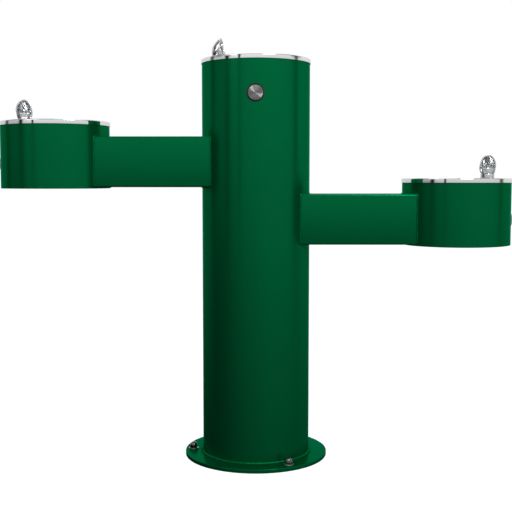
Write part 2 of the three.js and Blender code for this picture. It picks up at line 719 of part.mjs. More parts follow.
function makeBubblerBody() {
  const seat = BOSS_TOP + GAP;
  const trunk = turned([
    [0, seat - BUBBLER_SHANK_LONG],
    [BUBBLER_SHANK_R, seat - BUBBLER_SHANK_LONG],
    [BUBBLER_SHANK_R, seat],
    [COLLAR_R, seat],
    [COLLAR_R, SEAM - COLLAR_CHAMFER],
    [COLLAR_R - COLLAR_CHAMFER, SEAM],
    [SPIGOT_R, SEAM],
    [SPIGOT_R, SEAM + SPIGOT_HIGH],
    [0, SEAM + SPIGOT_HIGH],
  ], ROUND);
  const root = vec(-NOZZLE_BACK, 0, SEAM + SPIGOT_HIGH - NOZZLE_R);
  const aim = vec(Math.sin(radians(NOZZLE_TILT)), 0, Math.cos(radians(NOZZLE_TILT)));
  const mouth = root.clone().addScaledVector(aim, NOZZLE_LONG);
  const nozzle = bar(root, mouth, NOZZLE_R, PIPE_SIDES);
  const jet = bar(root, mouth.clone().addScaledVector(aim, PAST), JET_R, THIN_SIDES);
  const supplyLow = vec(0, 0, seat - BUBBLER_SHANK_LONG - PAST);
  const supply = bar(supplyLow, vec(0, 0, root.z + JET_R), BUBBLER_BORE_R, THIN_SIDES);
  return cut(join(trunk, nozzle), jet, supply);
}

const ease = (x) => Math.sin((Math.PI / 2) * Math.min(1, Math.max(0, x)));
const ramp = (x, from, to) => Math.min(1, Math.max(0, (x - from) / (to - from)));

// Plan of the hood at one height: half its width, and how far it reaches back and forward.
function hoodPlan(height) {
  const rise = HOOD_HIGH - HOOD_BULGE_AT;
  const below = HOOD_FOOT_HALF_WIDE + (HOOD_HALF_WIDE - HOOD_FOOT_HALF_WIDE) * ease(height / HOOD_BULGE_AT);
  const up = Math.max(0, (height - HOOD_BULGE_AT) / rise);
  const above = HOOD_HALF_WIDE * Math.sqrt(Math.max(0, 1 - up ** HOOD_DOME_POWER));
  const shoulder = ramp(height, HOOD_SHOULDER_LOW, HOOD_SHOULDER_HIGH);
  const tip = HOOD_LIP - HOOD_TIP_DEEP;
  return {
    half: height < HOOD_BULGE_AT ? below : above,
    back: tip - (tip + HOOD_BACK) * ease((HOOD_HIGH - height) / (HOOD_HIGH - HOOD_BULGE_AT)),
    front: HOOD_FRONT + (HOOD_LIP - HOOD_FRONT) * shoulder,
    centre: (HOOD_LIP - GAP) * shoulder,
  };
}

// One ring of the hood: two half ellipses that share their widest line.
function hoodRing(plan, z, sides) {
  return range(sides).map((k) => {
    const turn = (2 * Math.PI * k) / sides;
    const forward = Math.cos(turn);
    const reach = forward > 0 ? plan.front - plan.centre : plan.centre - plan.back;
    return vec(plan.centre + reach * forward, plan.half * Math.sin(turn), z);
  });
}

// Heights that draw closer together towards the crown.
const domed = (low, high, steps) => (
  spaced(0, Math.PI / 2, steps).map((turn) => low + (high - low) * Math.sin(turn))
);

function makeHood() {
  const crown = domed(HOOD_SHOULDER_HIGH, HOOD_HIGH - HOOD_CROWN_FLAT, 4);
  const heights = [0, HOOD_SHOULDER_LOW / 2, HOOD_SHOULDER_LOW, ...crown];
  const outer = loft(heights.map((height) => hoodRing(hoodPlan(height), aboveSeam(height), HOOD_SIDES)));
  const floor = SPIGOT_HIGH - GAP;
  const roof = HOOD_HIGH - 2 * HOOD_WALL;
  const hollow = loft([floor, ...domed(HOOD_BULGE_AT, roof, 4)].map((height) => {
    const plan = hoodPlan(height + HOOD_WALL * ramp(height, HOOD_SHOULDER_HIGH, roof));
    return hoodRing({
      half: Math.max(HOOD_WALL / 2, plan.half - HOOD_LIP_WIDE),
      back: plan.back + HOOD_WALL,
      centre: HOOD_LIP - HOOD_MOUTH_BACK,
      front: HOOD_FRONT + PAST,
    }, aboveSeam(height), HOOD_SIDES - 2);
  }));
  const behindLip = (low, frontX) => hollow.intersect(block(
    vec(-HOOD_BACK, -HOOD_HALF_WIDE, aboveSeam(low)),
    vec(frontX, HOOD_HALF_WIDE, aboveSeam(HOOD_HIGH)),
  ));
  const visor = behindLip(floor, HOOD_LIP + HOOD_MOUTH_BACK);
  const scoop = behindLip(HOOD_SHOULDER_LOW - HOOD_MOUTH_BACK, HOOD_FRONT + PAST);
  const socketTop = aboveSeam(SPIGOT_HIGH + GAP);
  const socket = bar(vec(0, 0, aboveSeam(-PAST)), vec(0, 0, socketTop), SPIGOT_R + GAP, ROUND);
  return cut(outer, visor, scoop, socket);
}

function makeBubblerNut() {
  const top = BOSS_LOW - GAP;
  const low = top - BUBBLER_NUT_HIGH - PAST;
  const bore = bar(vec(0, 0, low), vec(0, 0, top + PAST), BUBBLER_SHANK_R + GAP, ROUND);
  return cut(hexagon(BUBBLER_NUT_FLATS, top - BUBBLER_NUT_HIGH, top), bore);
}

// ---- Push-button valve: profiles run outwards along the button's axis -----------------------------

const BUTTON_FACE = TUBE_R + BUTTON_PROUD;
const BUTTON_BACK = BUTTON_FACE - BUTTON_THICK;
const SLEEVE_SHELF = SLEEVE_END + SLEEVE_FLOOR;
const CLIP_FRONT = SLEEVE_END - GAP;
const CLIP_ROOM = CLIP_FRONT - CLIP_THICK - BUTTON_TRAVEL - BUTTON_OVERTRAVEL;
const STEM_END = CLIP_ROOM - BUTTON_STEM_TAIL;
const STEM_ROOM = STEM_END - BUTTON_TRAVEL - BUTTON_OVERTRAVEL;

const makeButton = () => turnedAlongX([
  [0, STEM_END],
  [BUTTON_STEM_R, STEM_END],
  [BUTTON_STEM_R, CLIP_FRONT - CLIP_THICK],
  [CLIP_R, CLIP_FRONT - CLIP_THICK],
  [CLIP_R, CLIP_FRONT],
  [BUTTON_STEM_R, CLIP_FRONT],
  [BUTTON_STEM_R, BUTTON_BACK],
  [BUTTON_R, BUTTON_BACK],
  [BUTTON_R, BUTTON_FACE - BUTTON_CHAMFER],
  [BUTTON_R - BUTTON_CHAMFER, BUTTON_FACE],
  [BUTTON_DIMPLE_R, BUTTON_FACE],
  [0, BUTTON_FACE - BUTTON_DIMPLE_R / 2],
], ROUND);

const makeSleeve = () => turnedAlongX([
  [BUTTON_STEM_R + SLIDE_GAP, SLEEVE_END],
  [BUTTON_STEM_R + SLIDE_GAP, SLEEVE_SHELF],
  [BUTTON_R + SLIDE_GAP, SLEEVE_SHELF],
  [BUTTON_R + SLIDE_GAP, SLEEVE_FACE],
  [SLEEVE_R, SLEEVE_FACE],
  [SLEEVE_R, SLEEVE_END],
], ROUND);

class Coil extends THREE.Curve {
  getPoint(t, target = vec()) {
    const turn = 2 * Math.PI * SPRING_TURNS * t;
    const low = SLEEVE_SHELF + GAP + SPRING_WIRE_R;
    const high = BUTTON_BACK - GAP - SPRING_WIRE_R;
    return target.set(low + (high - low) * t, SPRING_MEAN_R * Math.cos(turn), SPRING_MEAN_R * Math.sin(turn));
  }
}

const makeSpring = () => sweep(new Coil(), SPRING_WIRE_R, WIRE_SIDES, COIL_STEPS * SPRING_TURNS);

function makeValve(station) {
  const socketR = SLEEVE_R + GAP;
  const socketFloor = SLEEVE_END - GAP;
  const neck = socketFloor - VALVE_SOCKET_WALL;
  const body = turnedAlongX([
    [0, STEM_ROOM],
    [BUTTON_STEM_R + SLIDE_GAP, STEM_ROOM],
    [BUTTON_STEM_R + SLIDE_GAP, CLIP_ROOM],
    [CLIP_R + SLIDE_GAP, CLIP_ROOM],
    [CLIP_R + SLIDE_GAP, socketFloor],
    [socketR, socketFloor],
    [socketR, VALVE_FACE],
    [VALVE_FLANGE_R, VALVE_FACE],
    [VALVE_FLANGE_R, VALVE_FACE - VALVE_FLANGE_THICK],
    [socketR + VALVE_SOCKET_WALL, VALVE_FACE - VALVE_FLANGE_THICK],
    [socketR + VALVE_SOCKET_WALL, neck],
    [VALVE_R, neck - (socketR + VALVE_SOCKET_WALL - VALVE_R)],
    [VALVE_R, VALVE_END],
    [0, VALVE_END],
  ], ROUND);
  const ports = [station.inlet, station.outlet].map((turn) => {
    const tip = vec(PORT_AT, PORT_REACH * Math.cos(radians(turn)), PORT_REACH * Math.sin(radians(turn)));
    return bar(vec(PORT_AT, 0, 0), tip, PORT_R, PIPE_SIDES);
  });
  return join(body, ...ports);
}

// ---- Plumbing --------------------------------------------------------------------------------

const wasteTop = (station) => station.painted + RIM_TOP + DRAIN_LOW;

function wasteRun(station) {
  const side = Math.sign(station.x);
  return [
    vec(station.x, 0, wasteTop(station)),
    vec(station.x, 0, wasteLevel(station, station.x)),
    vec(side * (TEE_REACH + GAP), 0, wasteLevel(station, TEE_REACH + GAP)),
  ];
}

function makeWasteArm(station) {
  const run = wasteRun(station);
  return cut(
    line(run, WASTE_R, WASTE_BEND, PIPE_SIDES),
    line(overlong(run, PAST), WASTE_R - WASTE_WALL, WASTE_BEND, PIPE_SIDES),
  );
}

function makeWasteStack() {
  const [top, left, right] = STATIONS;
  const branch = (station, reach, r) => {
    const side = Math.sign(station.x);
    const end = vec(side * reach, 0, wasteLevel(station, reach));
    return bar(vec(0, 0, wasteLevel(station, 0)), end, r, PIPE_SIDES);
  };
  const bore = WASTE_R - WASTE_WALL;
  const outside = bar(vec(0, 0, PIPE_END), vec(0, 0, wasteTop(top)), WASTE_R, PIPE_SIDES);
  const inside = bar(vec(0, 0, PIPE_END - PAST), vec(0, 0, wasteTop(top) + PAST), bore, PIPE_SIDES);
  return cut(
    join(outside, branch(left, TEE_REACH, WASTE_R), branch(right, TEE_REACH, WASTE_R)),
    inside,
    branch(left, TEE_REACH + PAST, bore),
    branch(right, TEE_REACH + PAST, bore),
  );
}

// The copper from the stop valve up to each push-button valve.
const uprightPipe = (low, high, r) => (
  bar(vec(0, RISER_BACK, low), vec(0, RISER_BACK, high), r, PIPE_SIDES)
);

function feedRuns() {
  const [top, left, right] = STATIONS;
  const level = top.painted - top.buttonDrop - TOP_FEED_DROP;
  const topInlet = portPoint(top, top.inlet, PORT_REACH + GAP);
  const aside = WASTE_R + RISER_R + FEED_BEND_R;
  const topRun = [
    vec(0, RISER_BACK, level),
    vec(aside, RISER_BACK, level),
    vec(aside, topInlet.y, level),
    vec(topInlet.x, topInlet.y, level),
    topInlet,
  ];
  const sideRuns = [left, right].map((station) => {
    const inlet = portPoint(station, station.inlet, PORT_REACH + GAP);
    return [vec(0, RISER_BACK, inlet.z), vec(inlet.x, RISER_BACK, inlet.z), inlet];
  });
  return { topRun, sideRuns, level };
}

function makeSupplyTree() {
  const { topRun, sideRuns, level } = feedRuns();
  const low = STOP_LEVEL + STOP_LONG / 2 + GAP;
  const riser = uprightPipe(low, level + FEED_R + COPPER_WALL, RISER_R);
  const bore = uprightPipe(low - PAST, level, RISER_R - COPPER_WALL);
  const feeds = [topRun, ...sideRuns].map((run) => line(run, FEED_R, FEED_BEND_R, PIPE_SIDES));
  return join(cut(riser, bore), ...feeds);
}

function makeInletPipe() {
  const top = STOP_LEVEL - STOP_LONG / 2 - GAP;
  return cut(
    uprightPipe(PIPE_END, top, RISER_R),
    uprightPipe(PIPE_END - PAST, top + PAST, RISER_R - COPPER_WALL),
  );
}

const STOP_FACE = RISER_BACK + STOP_BONNET_REACH;

function makeStopValve() {
  const at = (y, z) => vec(0, y, STOP_LEVEL + z);
  const stemHoleR = STOP_STEM_R + SLIDE_GAP;
  return cut(
    join(
      bar(at(RISER_BACK, -STOP_LONG / 2), at(RISER_BACK, STOP_LONG / 2), STOP_R, 6),
      bar(at(RISER_BACK, 0), at(STOP_FACE, 0), STOP_BONNET_R, ROUND),
    ),
    bar(at(STOP_FACE - STOP_STEM_DEEP - GAP, 0), at(STOP_FACE + PAST, 0), stemHoleR, PIPE_SIDES),
  );
}

function makeStopLever() {
  const at = (x, y, z) => vec(x, y, STOP_LEVEL + z);
  const hub = STOP_FACE + GAP;
  return join(
    bar(at(0, STOP_FACE - STOP_STEM_DEEP, 0), at(0, hub + LEVER_THICK, 0), STOP_STEM_R, PIPE_SIDES),
    bar(at(0, hub, 0), at(0, hub + STOP_HUB_THICK, 0), STOP_HUB_R, ROUND),
    block(
      at(-LEVER_WIDE / 2, hub + STOP_HUB_THICK - LEVER_THICK, 0),
      at(LEVER_WIDE / 2, hub + STOP_HUB_THICK, LEVER_LONG),
    ),
  );
}

// The soft hose from a valve's outlet to its bubbler's shank.
function makeHose(station) {
  const from = portPoint(station, station.outlet, PORT_REACH + GAP);
  const ahead = portPoint(station, station.outlet, PORT_REACH + GAP + station.hoseSlack);
  const to = vec(0, 0, BOSS_TOP - BUBBLER_SHANK_LONG).applyMatrix4(bubblerFrame(station).matrix);
  const below = to.clone().add(vec(0, 0, -station.hoseSlack));
  return sweep(new THREE.CubicBezierCurve3(from, ahead, below, to), HOSE_R, THIN_SIDES, HOSE_STEPS);
}

// ---- The fountain ----------------------------------------------------------------------------

const fountain = new THREE.Group();

fountain.add(
  node('pedestal_tube', makePost(), PAINT),
  node('base_flange', makeFlange(), PAINT),
  node('access_door', makeDoor(), PAINT),
);

doorScrewSpots().forEach((spot, i) => {
  fountain.add(node(`door_screw_${i + 1}`, makeDoorScrew(spot), SPUN));
});

anchorSpots().forEach(([x, y], i) => {
  const washer = node(`anchor_washer_${i + 1}`, makeWasher(), SPUN);
  washer.position.set(x, y, FLANGE_THICK + GAP);
  const anchor = node(`anchor_bolt_${i + 1}`, makeAnchor(), POLISHED);
  anchor.position.set(x, y, FLANGE_THICK + GAP + WASHER_THICK + GAP);
  fountain.add(washer, anchor);
});

for (const station of STATIONS) {
  const { name, x, painted } = station;

  const bowl = new THREE.Group();
  bowl.position.set(x, 0, painted + RIM_TOP);
  bowl.add(
    node(`bowl_${name}`, makeBowl(station), POLISHED),
    node(`drain_strainer_${name}`, makeStrainer(), SPUN),
    node(`drain_nut_${name}`, makeDrainNut(), BRASS),
  );

  const bubbler = bubblerFrame(station);
  bubbler.add(
    node(`bubbler_body_${name}`, makeBubblerBody(), POLISHED),
    node(`bubbler_hood_${name}`, makeHood(), POLISHED),
    node(`bubbler_nut_${name}`, makeBubblerNut(), BRASS),
  );

  const button = buttonFrame(station);
  button.add(
    node(`push_button_${name}`, makeButton(), SPUN),
    node(`button_sleeve_${name}`, makeSleeve(), DARK),
    node(`button_spring_${name}`, makeSpring(), SPRING_STEEL),
    node(`valve_body_${name}`, makeValve(station), BRASS),
  );

  fountain.add(bowl, bubbler, button, node(`bubbler_hose_${name}`, makeHose(station), HOSE_PLASTIC));

  if (x !== 0) {
    const cover = node(`drum_cover_${name}`, makeCover(), PAINT);
    cover.position.set(x, 0, painted - DRUM_HIGH + COVER_RECESS);
    fountain.add(
      node(`arm_${name}`, makeArm(station), PAINT),
      node(`drum_${name}`, makeDrum(station), PAINT),
      cover,
      node(`waste_arm_${name}`, makeWasteArm(station), WASTE_PLASTIC),
    );
  }
}

fountain.add(
  node('waste_stack', makeWasteStack(), WASTE_PLASTIC),
  node('supply_tree', makeSupplyTree(), COPPER),
  node('supply_inlet', makeInletPipe(), COPPER),
  node('stop_valve', makeStopValve(), BRASS),
  node('stop_lever', makeStopLever(), SPUN),
);

export default fountain;
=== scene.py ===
import math
import random

import bmesh
import bpy
import numpy as np
from mathutils import Matrix, Vector


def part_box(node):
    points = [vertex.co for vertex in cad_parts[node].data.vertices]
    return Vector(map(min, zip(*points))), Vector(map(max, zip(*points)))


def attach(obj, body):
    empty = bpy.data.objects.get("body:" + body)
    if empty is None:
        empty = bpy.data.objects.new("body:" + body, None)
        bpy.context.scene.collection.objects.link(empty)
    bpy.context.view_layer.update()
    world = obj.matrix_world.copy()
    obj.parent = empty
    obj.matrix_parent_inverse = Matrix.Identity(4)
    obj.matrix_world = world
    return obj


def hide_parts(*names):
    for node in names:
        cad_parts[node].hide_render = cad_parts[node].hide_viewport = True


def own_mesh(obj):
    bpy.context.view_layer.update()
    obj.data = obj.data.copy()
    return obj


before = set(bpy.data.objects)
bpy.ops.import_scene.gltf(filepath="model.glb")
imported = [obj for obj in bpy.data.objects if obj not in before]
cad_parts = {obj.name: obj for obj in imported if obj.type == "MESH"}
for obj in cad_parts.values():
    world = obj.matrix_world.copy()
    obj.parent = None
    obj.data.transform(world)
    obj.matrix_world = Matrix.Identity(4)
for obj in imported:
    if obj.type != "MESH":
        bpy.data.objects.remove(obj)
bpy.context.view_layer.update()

# Lengths in this file are millimetres, and meshes are scaled to metres as they are made.
MM = 0.001
FINE = 192            # facets round the tubes and bowls
ROUND = 64            # facets round the fittings
rad = math.radians

TUBE_R = 136.525
TUBE_WALL = 4.8
BORE_R = TUBE_R - TUBE_WALL
RIM_TOP = 11.0        # above the painted edge
TUBE_END = 9.2
FLANGE_R = 182.0
FLANGE_THICK = 10.0
FLANGE_OPENING_R = 92.0
ARM_WIDE = 160.0
ARM_WALL = 5.0
ARM_CORNER_R = 4.0
WINDOW_HALF = 61.0    # openings from the post and the drums into the arms
WINDOW_SILL = 11.0    # up from the arm's underside
WINDOW_HEAD = 19.0    # down from the arm's top
SKIRT_R = 138.475
SHEET = 1.5
GAP = 0.3             # between parts that touch
PAST = 5.0            # how far a cut runs past what it cuts


# ---- Mesh helpers ------------------------------------------------------------------------------

def arc(centre_r, centre_z, r, start, end, steps):
    turns = [rad(start + (end - start) * i / steps) for i in range(steps + 1)]
    return [(centre_r + r * math.cos(t), centre_z + r * math.sin(t)) for t in turns]


def soften(profile, r, steps=3, closed=False):
    """The profile with each corner rounded to about r, less where its sides are short."""
    count = len(profile)
    out = []
    for i, point in enumerate(profile):
        p = Vector(point)
        if not closed and i in (0, count - 1):
            out.append(tuple(p))
            continue
        before, after = Vector(profile[i - 1]) - p, Vector(profile[(i + 1) % count]) - p
        cosine = before.normalized().dot(after.normalized())
        if cosine < -0.97:
            out.append(tuple(p))
            continue
        d = min(r / math.tan(math.acos(max(-1, cosine)) / 2), 0.45 * before.length, 0.45 * after.length)
        a, b = p + before.normalized() * d, p + after.normalized() * d
        for k in range(steps + 1):
            t = k / steps
            out.append(tuple(a * (1 - t) ** 2 + p * (2 * t * (1 - t)) + b * t ** 2))
    return out


def revolve(profile, sides=ROUND):
    """Vertices and faces of a closed revolve about Z of (radius, height) points."""
    verts, rings, faces = [], [], []
    for r, z in profile:
        if r < 1e-9:
            rings.append([len(verts)])
            verts.append((0, 0, z))
        else:
            rings.append(list(range(len(verts), len(verts) + sides)))
            turns = [2 * math.pi * k / sides for k in range(sides)]
            verts += [(r * math.cos(t), r * math.sin(t), z) for t in turns]
    on_axis = len(rings[0]) == 1 and len(rings[-1]) == 1
    pairs = list(zip(rings, rings[1:] if on_axis else rings[1:] + rings[:1]))
    for a, b in pairs:
        if len(a) == 1 and len(b) == 1:
            continue
        for k in range(sides):
            n = (k + 1) % sides
            corners = [a[k % len(a)], a[n % len(a)], b[n % len(b)], b[k % len(b)]]
            faces.append(list(dict.fromkeys(corners)))
    return verts, faces


def rod(r, low, high, sides=ROUND):
    """An upright cylinder on Z."""
    return revolve([(0, low), (r, low), (r, high), (0, high)], sides)


def loft(rings):
    """Vertices and faces of a closed loft through rings of equal length."""
    sides = len(rings[0])
    verts = [tuple(p) for ring in rings for p in ring]
    faces = [list(range(sides)), list(range((len(rings) - 1) * sides, len(rings) * sides))]
    for j in range(len(rings) - 1):
        for k in range(sides):
            a, b = j * sides + k, j * sides + (k + 1) % sides
            faces.append([a, b, b + sides, a + sides])
    return verts, faces


def block(low, high):
    corners = [(x, y, z) for x in (low[0], high[0]) for y in (low[1], high[1]) for z in (low[2], high[2])]
    return corners, [[0, 1, 3, 2], [4, 5, 7, 6], [0, 1, 5, 4], [2, 3, 7, 6], [0, 2, 6, 4], [1, 3, 7, 5]]


def solid(name, shape, place=Matrix()):
    """A mesh object in metres with its faces pointing out, from a shape in millimetres."""
    verts, faces = shape
    mesh = bpy.data.meshes.new(name)
    mesh.from_pydata([place @ Vector(v) * MM for v in verts], [], faces)
    bm = bmesh.new()
    bm.from_mesh(mesh)
    bmesh.ops.recalc_face_normals(bm, faces=bm.faces)
    bm.to_mesh(mesh)
    bm.free()
    obj = bpy.data.objects.new(name, mesh)
    bpy.context.scene.collection.objects.link(obj)
    return obj


def applied(obj):
    """Replaces the object's mesh by what its modifiers make of it."""
    graph = bpy.context.evaluated_depsgraph_get()
    mesh = bpy.data.meshes.new_from_object(obj.evaluated_get(graph))
    obj.modifiers.clear()
    obj.data = mesh
    return obj


def boolean(obj, tool, operation="DIFFERENCE"):
    mod = obj.modifiers.new("boolean", "BOOLEAN")
    mod.operation, mod.object, mod.solver = operation, tool, "EXACT"
    applied(obj)
    bpy.data.objects.remove(tool)
    return obj


def bevel(obj, width, segments=2, angle=30):
    mod = obj.modifiers.new("bevel", "BEVEL")
    mod.width, mod.segments, mod.limit_method, mod.angle_limit = width * MM, segments, "ANGLE", rad(angle)
    return applied(obj)


def smooth(obj, angle=32):
    obj.data.shade_smooth()
    obj.data.set_sharp_from_angle(angle=rad(angle))
    return obj


def true_round(obj, axis_x, *radii):
    """Gives faces on upright cylinders about this axis their exact round normals."""
    mesh = smooth(obj).data
    normals = [Vector(n.vector) for n in mesh.corner_normals]
    for face in mesh.polygons:
        spots = [mesh.vertices[mesh.loops[i].vertex_index].co for i in face.loop_indices]
        out = [Vector((p.x - axis_x * MM, p.y, 0)) for p in spots]
        if abs(face.normal.z) > 0.1:
            continue
        if any(all(abs(v.length - r * MM) < 4e-5 for v in out) for r in radii):
            for i, v in zip(face.loop_indices, out):
                normals[i] = v.normalized() * (1 if v.dot(face.normal) > 0 else -1)
    mesh.normals_split_custom_set(normals)
    return obj


def upright(x, r, low, high, sides=FINE):
    return solid("tool", rod(r, low, high, sides), Matrix.Translation((x, 0, 0)))


def kept(obj, slot, body="root", *nodes):
    """The piece takes its slot's material, rides on its body, and stands for these nodes."""
    obj.data.materials.clear()
    obj.data.materials.append(LOOKS[slot])
    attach(obj, body)
    if nodes:
        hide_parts(*nodes)
    return obj


# ---- Materials ---------------------------------------------------------------------------------

def look(name, colour, metallic, roughness, spread=0.04, grain=300.0, bump=0.05, deep=0.1, second=None,
         patch=6.0, stretch=(1, 1, 1), fixed=()):
    """A material whose colour, roughness and bump come from noise at three scales."""
    made = bpy.data.materials.new(name)
    made.use_nodes = True
    tree = made.node_tree
    shader = tree.nodes["Principled BSDF"]
    coords = tree.nodes.new("ShaderNodeTexCoord")
    mapping = tree.nodes.new("ShaderNodeMapping")
    mapping.inputs["Scale"].default_value = stretch
    tree.links.new(coords.outputs["Object"], mapping.inputs["Vector"])

    def noise(scale, detail):
        node = tree.nodes.new("ShaderNodeTexNoise")
        node.inputs["Scale"].default_value = scale
        node.inputs["Detail"].default_value = detail
        tree.links.new(mapping.outputs["Vector"], node.inputs["Vector"])
        return node.outputs["Fac"]

    mix = tree.nodes.new("ShaderNodeMix")
    mix.data_type = "RGBA"
    mix.inputs["A"].default_value = (*colour, 1)
    mix.inputs["B"].default_value = (*(second or [c * 0.86 for c in colour]), 1)
    tree.links.new(noise(patch, 3), mix.inputs["Factor"])
    tree.links.new(mix.outputs["Result"], shader.inputs["Base Color"])

    span = tree.nodes.new("ShaderNodeMapRange")
    span.inputs["From Min"].default_value, span.inputs["From Max"].default_value = 0.3, 0.7
    span.inputs["To Min"].default_value = max(0.02, roughness - spread)
    span.inputs["To Max"].default_value = roughness + spread
    tree.links.new(noise(patch * 9, 4), span.inputs["Value"])
    tree.links.new(span.outputs["Result"], shader.inputs["Roughness"])

    relief = tree.nodes.new("ShaderNodeBump")
    relief.inputs["Strength"].default_value = bump
    relief.inputs["Distance"].default_value = deep * MM
    tree.links.new(noise(grain, 2), relief.inputs["Height"])
    tree.links.new(relief.outputs["Normal"], shader.inputs["Normal"])

    shader.inputs["Metallic"].default_value = metallic
    for socket, value in fixed:
        shader.inputs[socket].default_value = value
    return made


def spun(name, colour, roughness, axis, rings, anisotropy=0.85):
    """Turned metal: rings round an axis, and a highlight that fans out from the centre."""
    made = look(name, colour, 1.0, roughness, 0.05, 900, 0.04, 0.05, patch=30)
    tree = made.node_tree
    shader = tree.nodes["Principled BSDF"]
    tangent = tree.nodes.new("ShaderNodeTangent")
    tangent.direction_type, tangent.axis = "RADIAL", axis
    tree.links.new(tangent.outputs["Tangent"], shader.inputs["Tangent"])
    shader.inputs["Anisotropic"].default_value = anisotropy
    if rings:
        wave = tree.nodes.new("ShaderNodeTexWave")
        wave.wave_type, wave.rings_direction = "RINGS", axis
        wave.inputs["Scale"].default_value = rings
        wave.inputs["Distortion"].default_value = 0.4
        coords = [n for n in tree.nodes if n.type == "TEX_COORD"][0]
        tree.links.new(coords.outputs["Object"], wave.inputs["Vector"])
        relief = [n for n in tree.nodes if n.type == "BUMP"][0]
        fine = tree.nodes.new("ShaderNodeBump")
        fine.inputs["Strength"].default_value = 0.12
        fine.inputs["Distance"].default_value = 0.02 * MM
        tree.links.new(wave.outputs["Fac"], fine.inputs["Height"])
        tree.links.new(relief.outputs["Normal"], fine.inputs["Normal"])
        tree.links.new(fine.outputs["Normal"], shader.inputs["Normal"])
    return made


PAINT_COLOUR = (0.0007, 0.150, 0.049)
LOOKS = {
    "green_paint": look("green_paint", PAINT_COLOUR, 0.7, 0.23, 0.02, 650, 0.06, 0.10,
                        second=(0.0007, 0.136, 0.044), patch=5,
                        fixed=[("Specular Tint", (0.0, 0.56, 0.46, 1.0)), ("Specular IOR Level", 0.0)]),
    "polished_steel": look("polished_steel", (0.86, 0.87, 0.88), 1.0, 0.06, 0.02, 1200, 0.02, 0.05, patch=20),
    "zinc_steel": look("zinc_steel", (0.55, 0.56, 0.57), 1.0, 0.3, 0.06, 1500, 0.08, 0.05, patch=60),
    "chrome_cast": look("chrome_cast", (0.70, 0.71, 0.72), 1.0, 0.16, 0.02, 500, 0.02, 0.1, patch=40),
    # near-black sleeve colour: painted shade, standing in for the dark shadow gap round each button
    "black_acetal": look("black_acetal", (0.018, 0.019, 0.020), 0.0, 0.45, 0.06, 2500, 0.1, 0.05, patch=80),
    "brass": look("brass", (0.60, 0.43, 0.17), 1.0, 0.32, 0.06, 900, 0.1, 0.08, patch=50),
    "copper": look("copper", (0.64, 0.28, 0.15), 1.0, 0.3, 0.07, 700, 0.06, 0.08, patch=35),
    "spring_steel": look("spring_steel", (0.42, 0.43, 0.44), 1.0, 0.28, 0.05, 1800, 0.08, 0.04, patch=90),
    "waste_plastic": look("waste_plastic", (0.78, 0.78, 0.75), 0.0, 0.42, 0.05, 800, 0.06, 0.1, patch=18),
    "hose_plastic": look("hose_plastic", (0.75, 0.80, 0.83), 0.0, 0.36, 0.05, 900, 0.05, 0.1, patch=30),
    "spun_steel": spun("spun_steel", (0.62, 0.63, 0.64), 0.34, "Z", 0),
}
NUT_LOOK = look("nut_steel", (0.20, 0.20, 0.205), 1.0, 0.14, 0.04, 1200, 0.05, 0.05, patch=60)
BUTTON_LOOKS = {
    "top": spun("spun_face_front", (0.34, 0.34, 0.34), 0.42, "Y", 350, 1.0),
    "left": spun("spun_face_left", (0.34, 0.34, 0.34), 0.42, "X", 350, 1.0),
    "right": spun("spun_face_right", (0.34, 0.34, 0.34), 0.42, "X", 350, 1.0),
}


# ---- Stations ----------------------------------------------------------------------------------

def middle(node):
    low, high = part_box(node)
    return (low + high) / 2 / MM


class Station:
    def __init__(self, name, outward, hood_turn):
        self.name = name
        self.axis_x = middle("bowl_" + name).x
        self.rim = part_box("bowl_" + name)[1].z / MM
        self.painted = self.rim - RIM_TOP
        self.outward = Vector(outward)
        self.button_z = middle("push_button_" + name).z
        self.bubbler = middle("bubbler_nut_" + name)
        self.hood_turn = rad(hood_turn)
        self.body = "button_" + name

    def button_place(self):
        """The frame whose Z is the button's outward axis, from the tube's axis."""
        turn = Vector((0, 0, 1)).rotation_difference(self.outward).to_matrix().to_4x4()
        return Matrix.Translation((self.axis_x, 0, self.button_z)) @ turn

    def bubbler_place(self):
        """The frame on the bubbler's axis at the rim's height, its X towards the opening."""
        spot = (self.bubbler.x, self.bubbler.y, self.rim)
        return Matrix.Translation(spot) @ Matrix.Rotation(self.hood_turn, 4, "Z")


TOP = Station("top", (0, -1, 0), -14)
LEFT = Station("left", (-1, 0, 0), -90)
RIGHT = Station("right", (1, 0, 0), -90)
STATIONS = [TOP, LEFT, RIGHT]

BUTTON_R, BUTTON_THICK, BUTTON_CHAMFER = 19.0, 8.0, 1.1
BUTTON_FACE = TUBE_R + 2.7
BUTTON_TRAVEL, BUTTON_OVERTRAVEL = 5.0, 1.0
STEM_R, STEM_TAIL = 6.1, 8.0
CLIP_R, CLIP_THICK = 8.2, 1.5
SLEEVE_R, SLEEVE_LONG, SLEEVE_SHELF = 21.7, 22.5, 7.5
SLEEVE_FACE = 134.74
SLIDE_GAP = 0.4


def button_hole(station):
    return solid("tool", rod(SLEEVE_R + GAP, TUBE_R / 2, TUBE_R + 2 * PAST), station.button_place())


def arm_window(station, xs):
    """A cutter for the opening into the station's arm, between two places across."""
    low, high = (corner.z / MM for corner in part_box("arm_" + station.name))
    near, far = sorted(xs)
    corners = (near, -WINDOW_HALF, low + WINDOW_SILL), (far, WINDOW_HALF, high - WINDOW_HEAD)
    return solid("tool", block(*corners))


# ---- Post, flange, door and anchors ------------------------------------------------------------

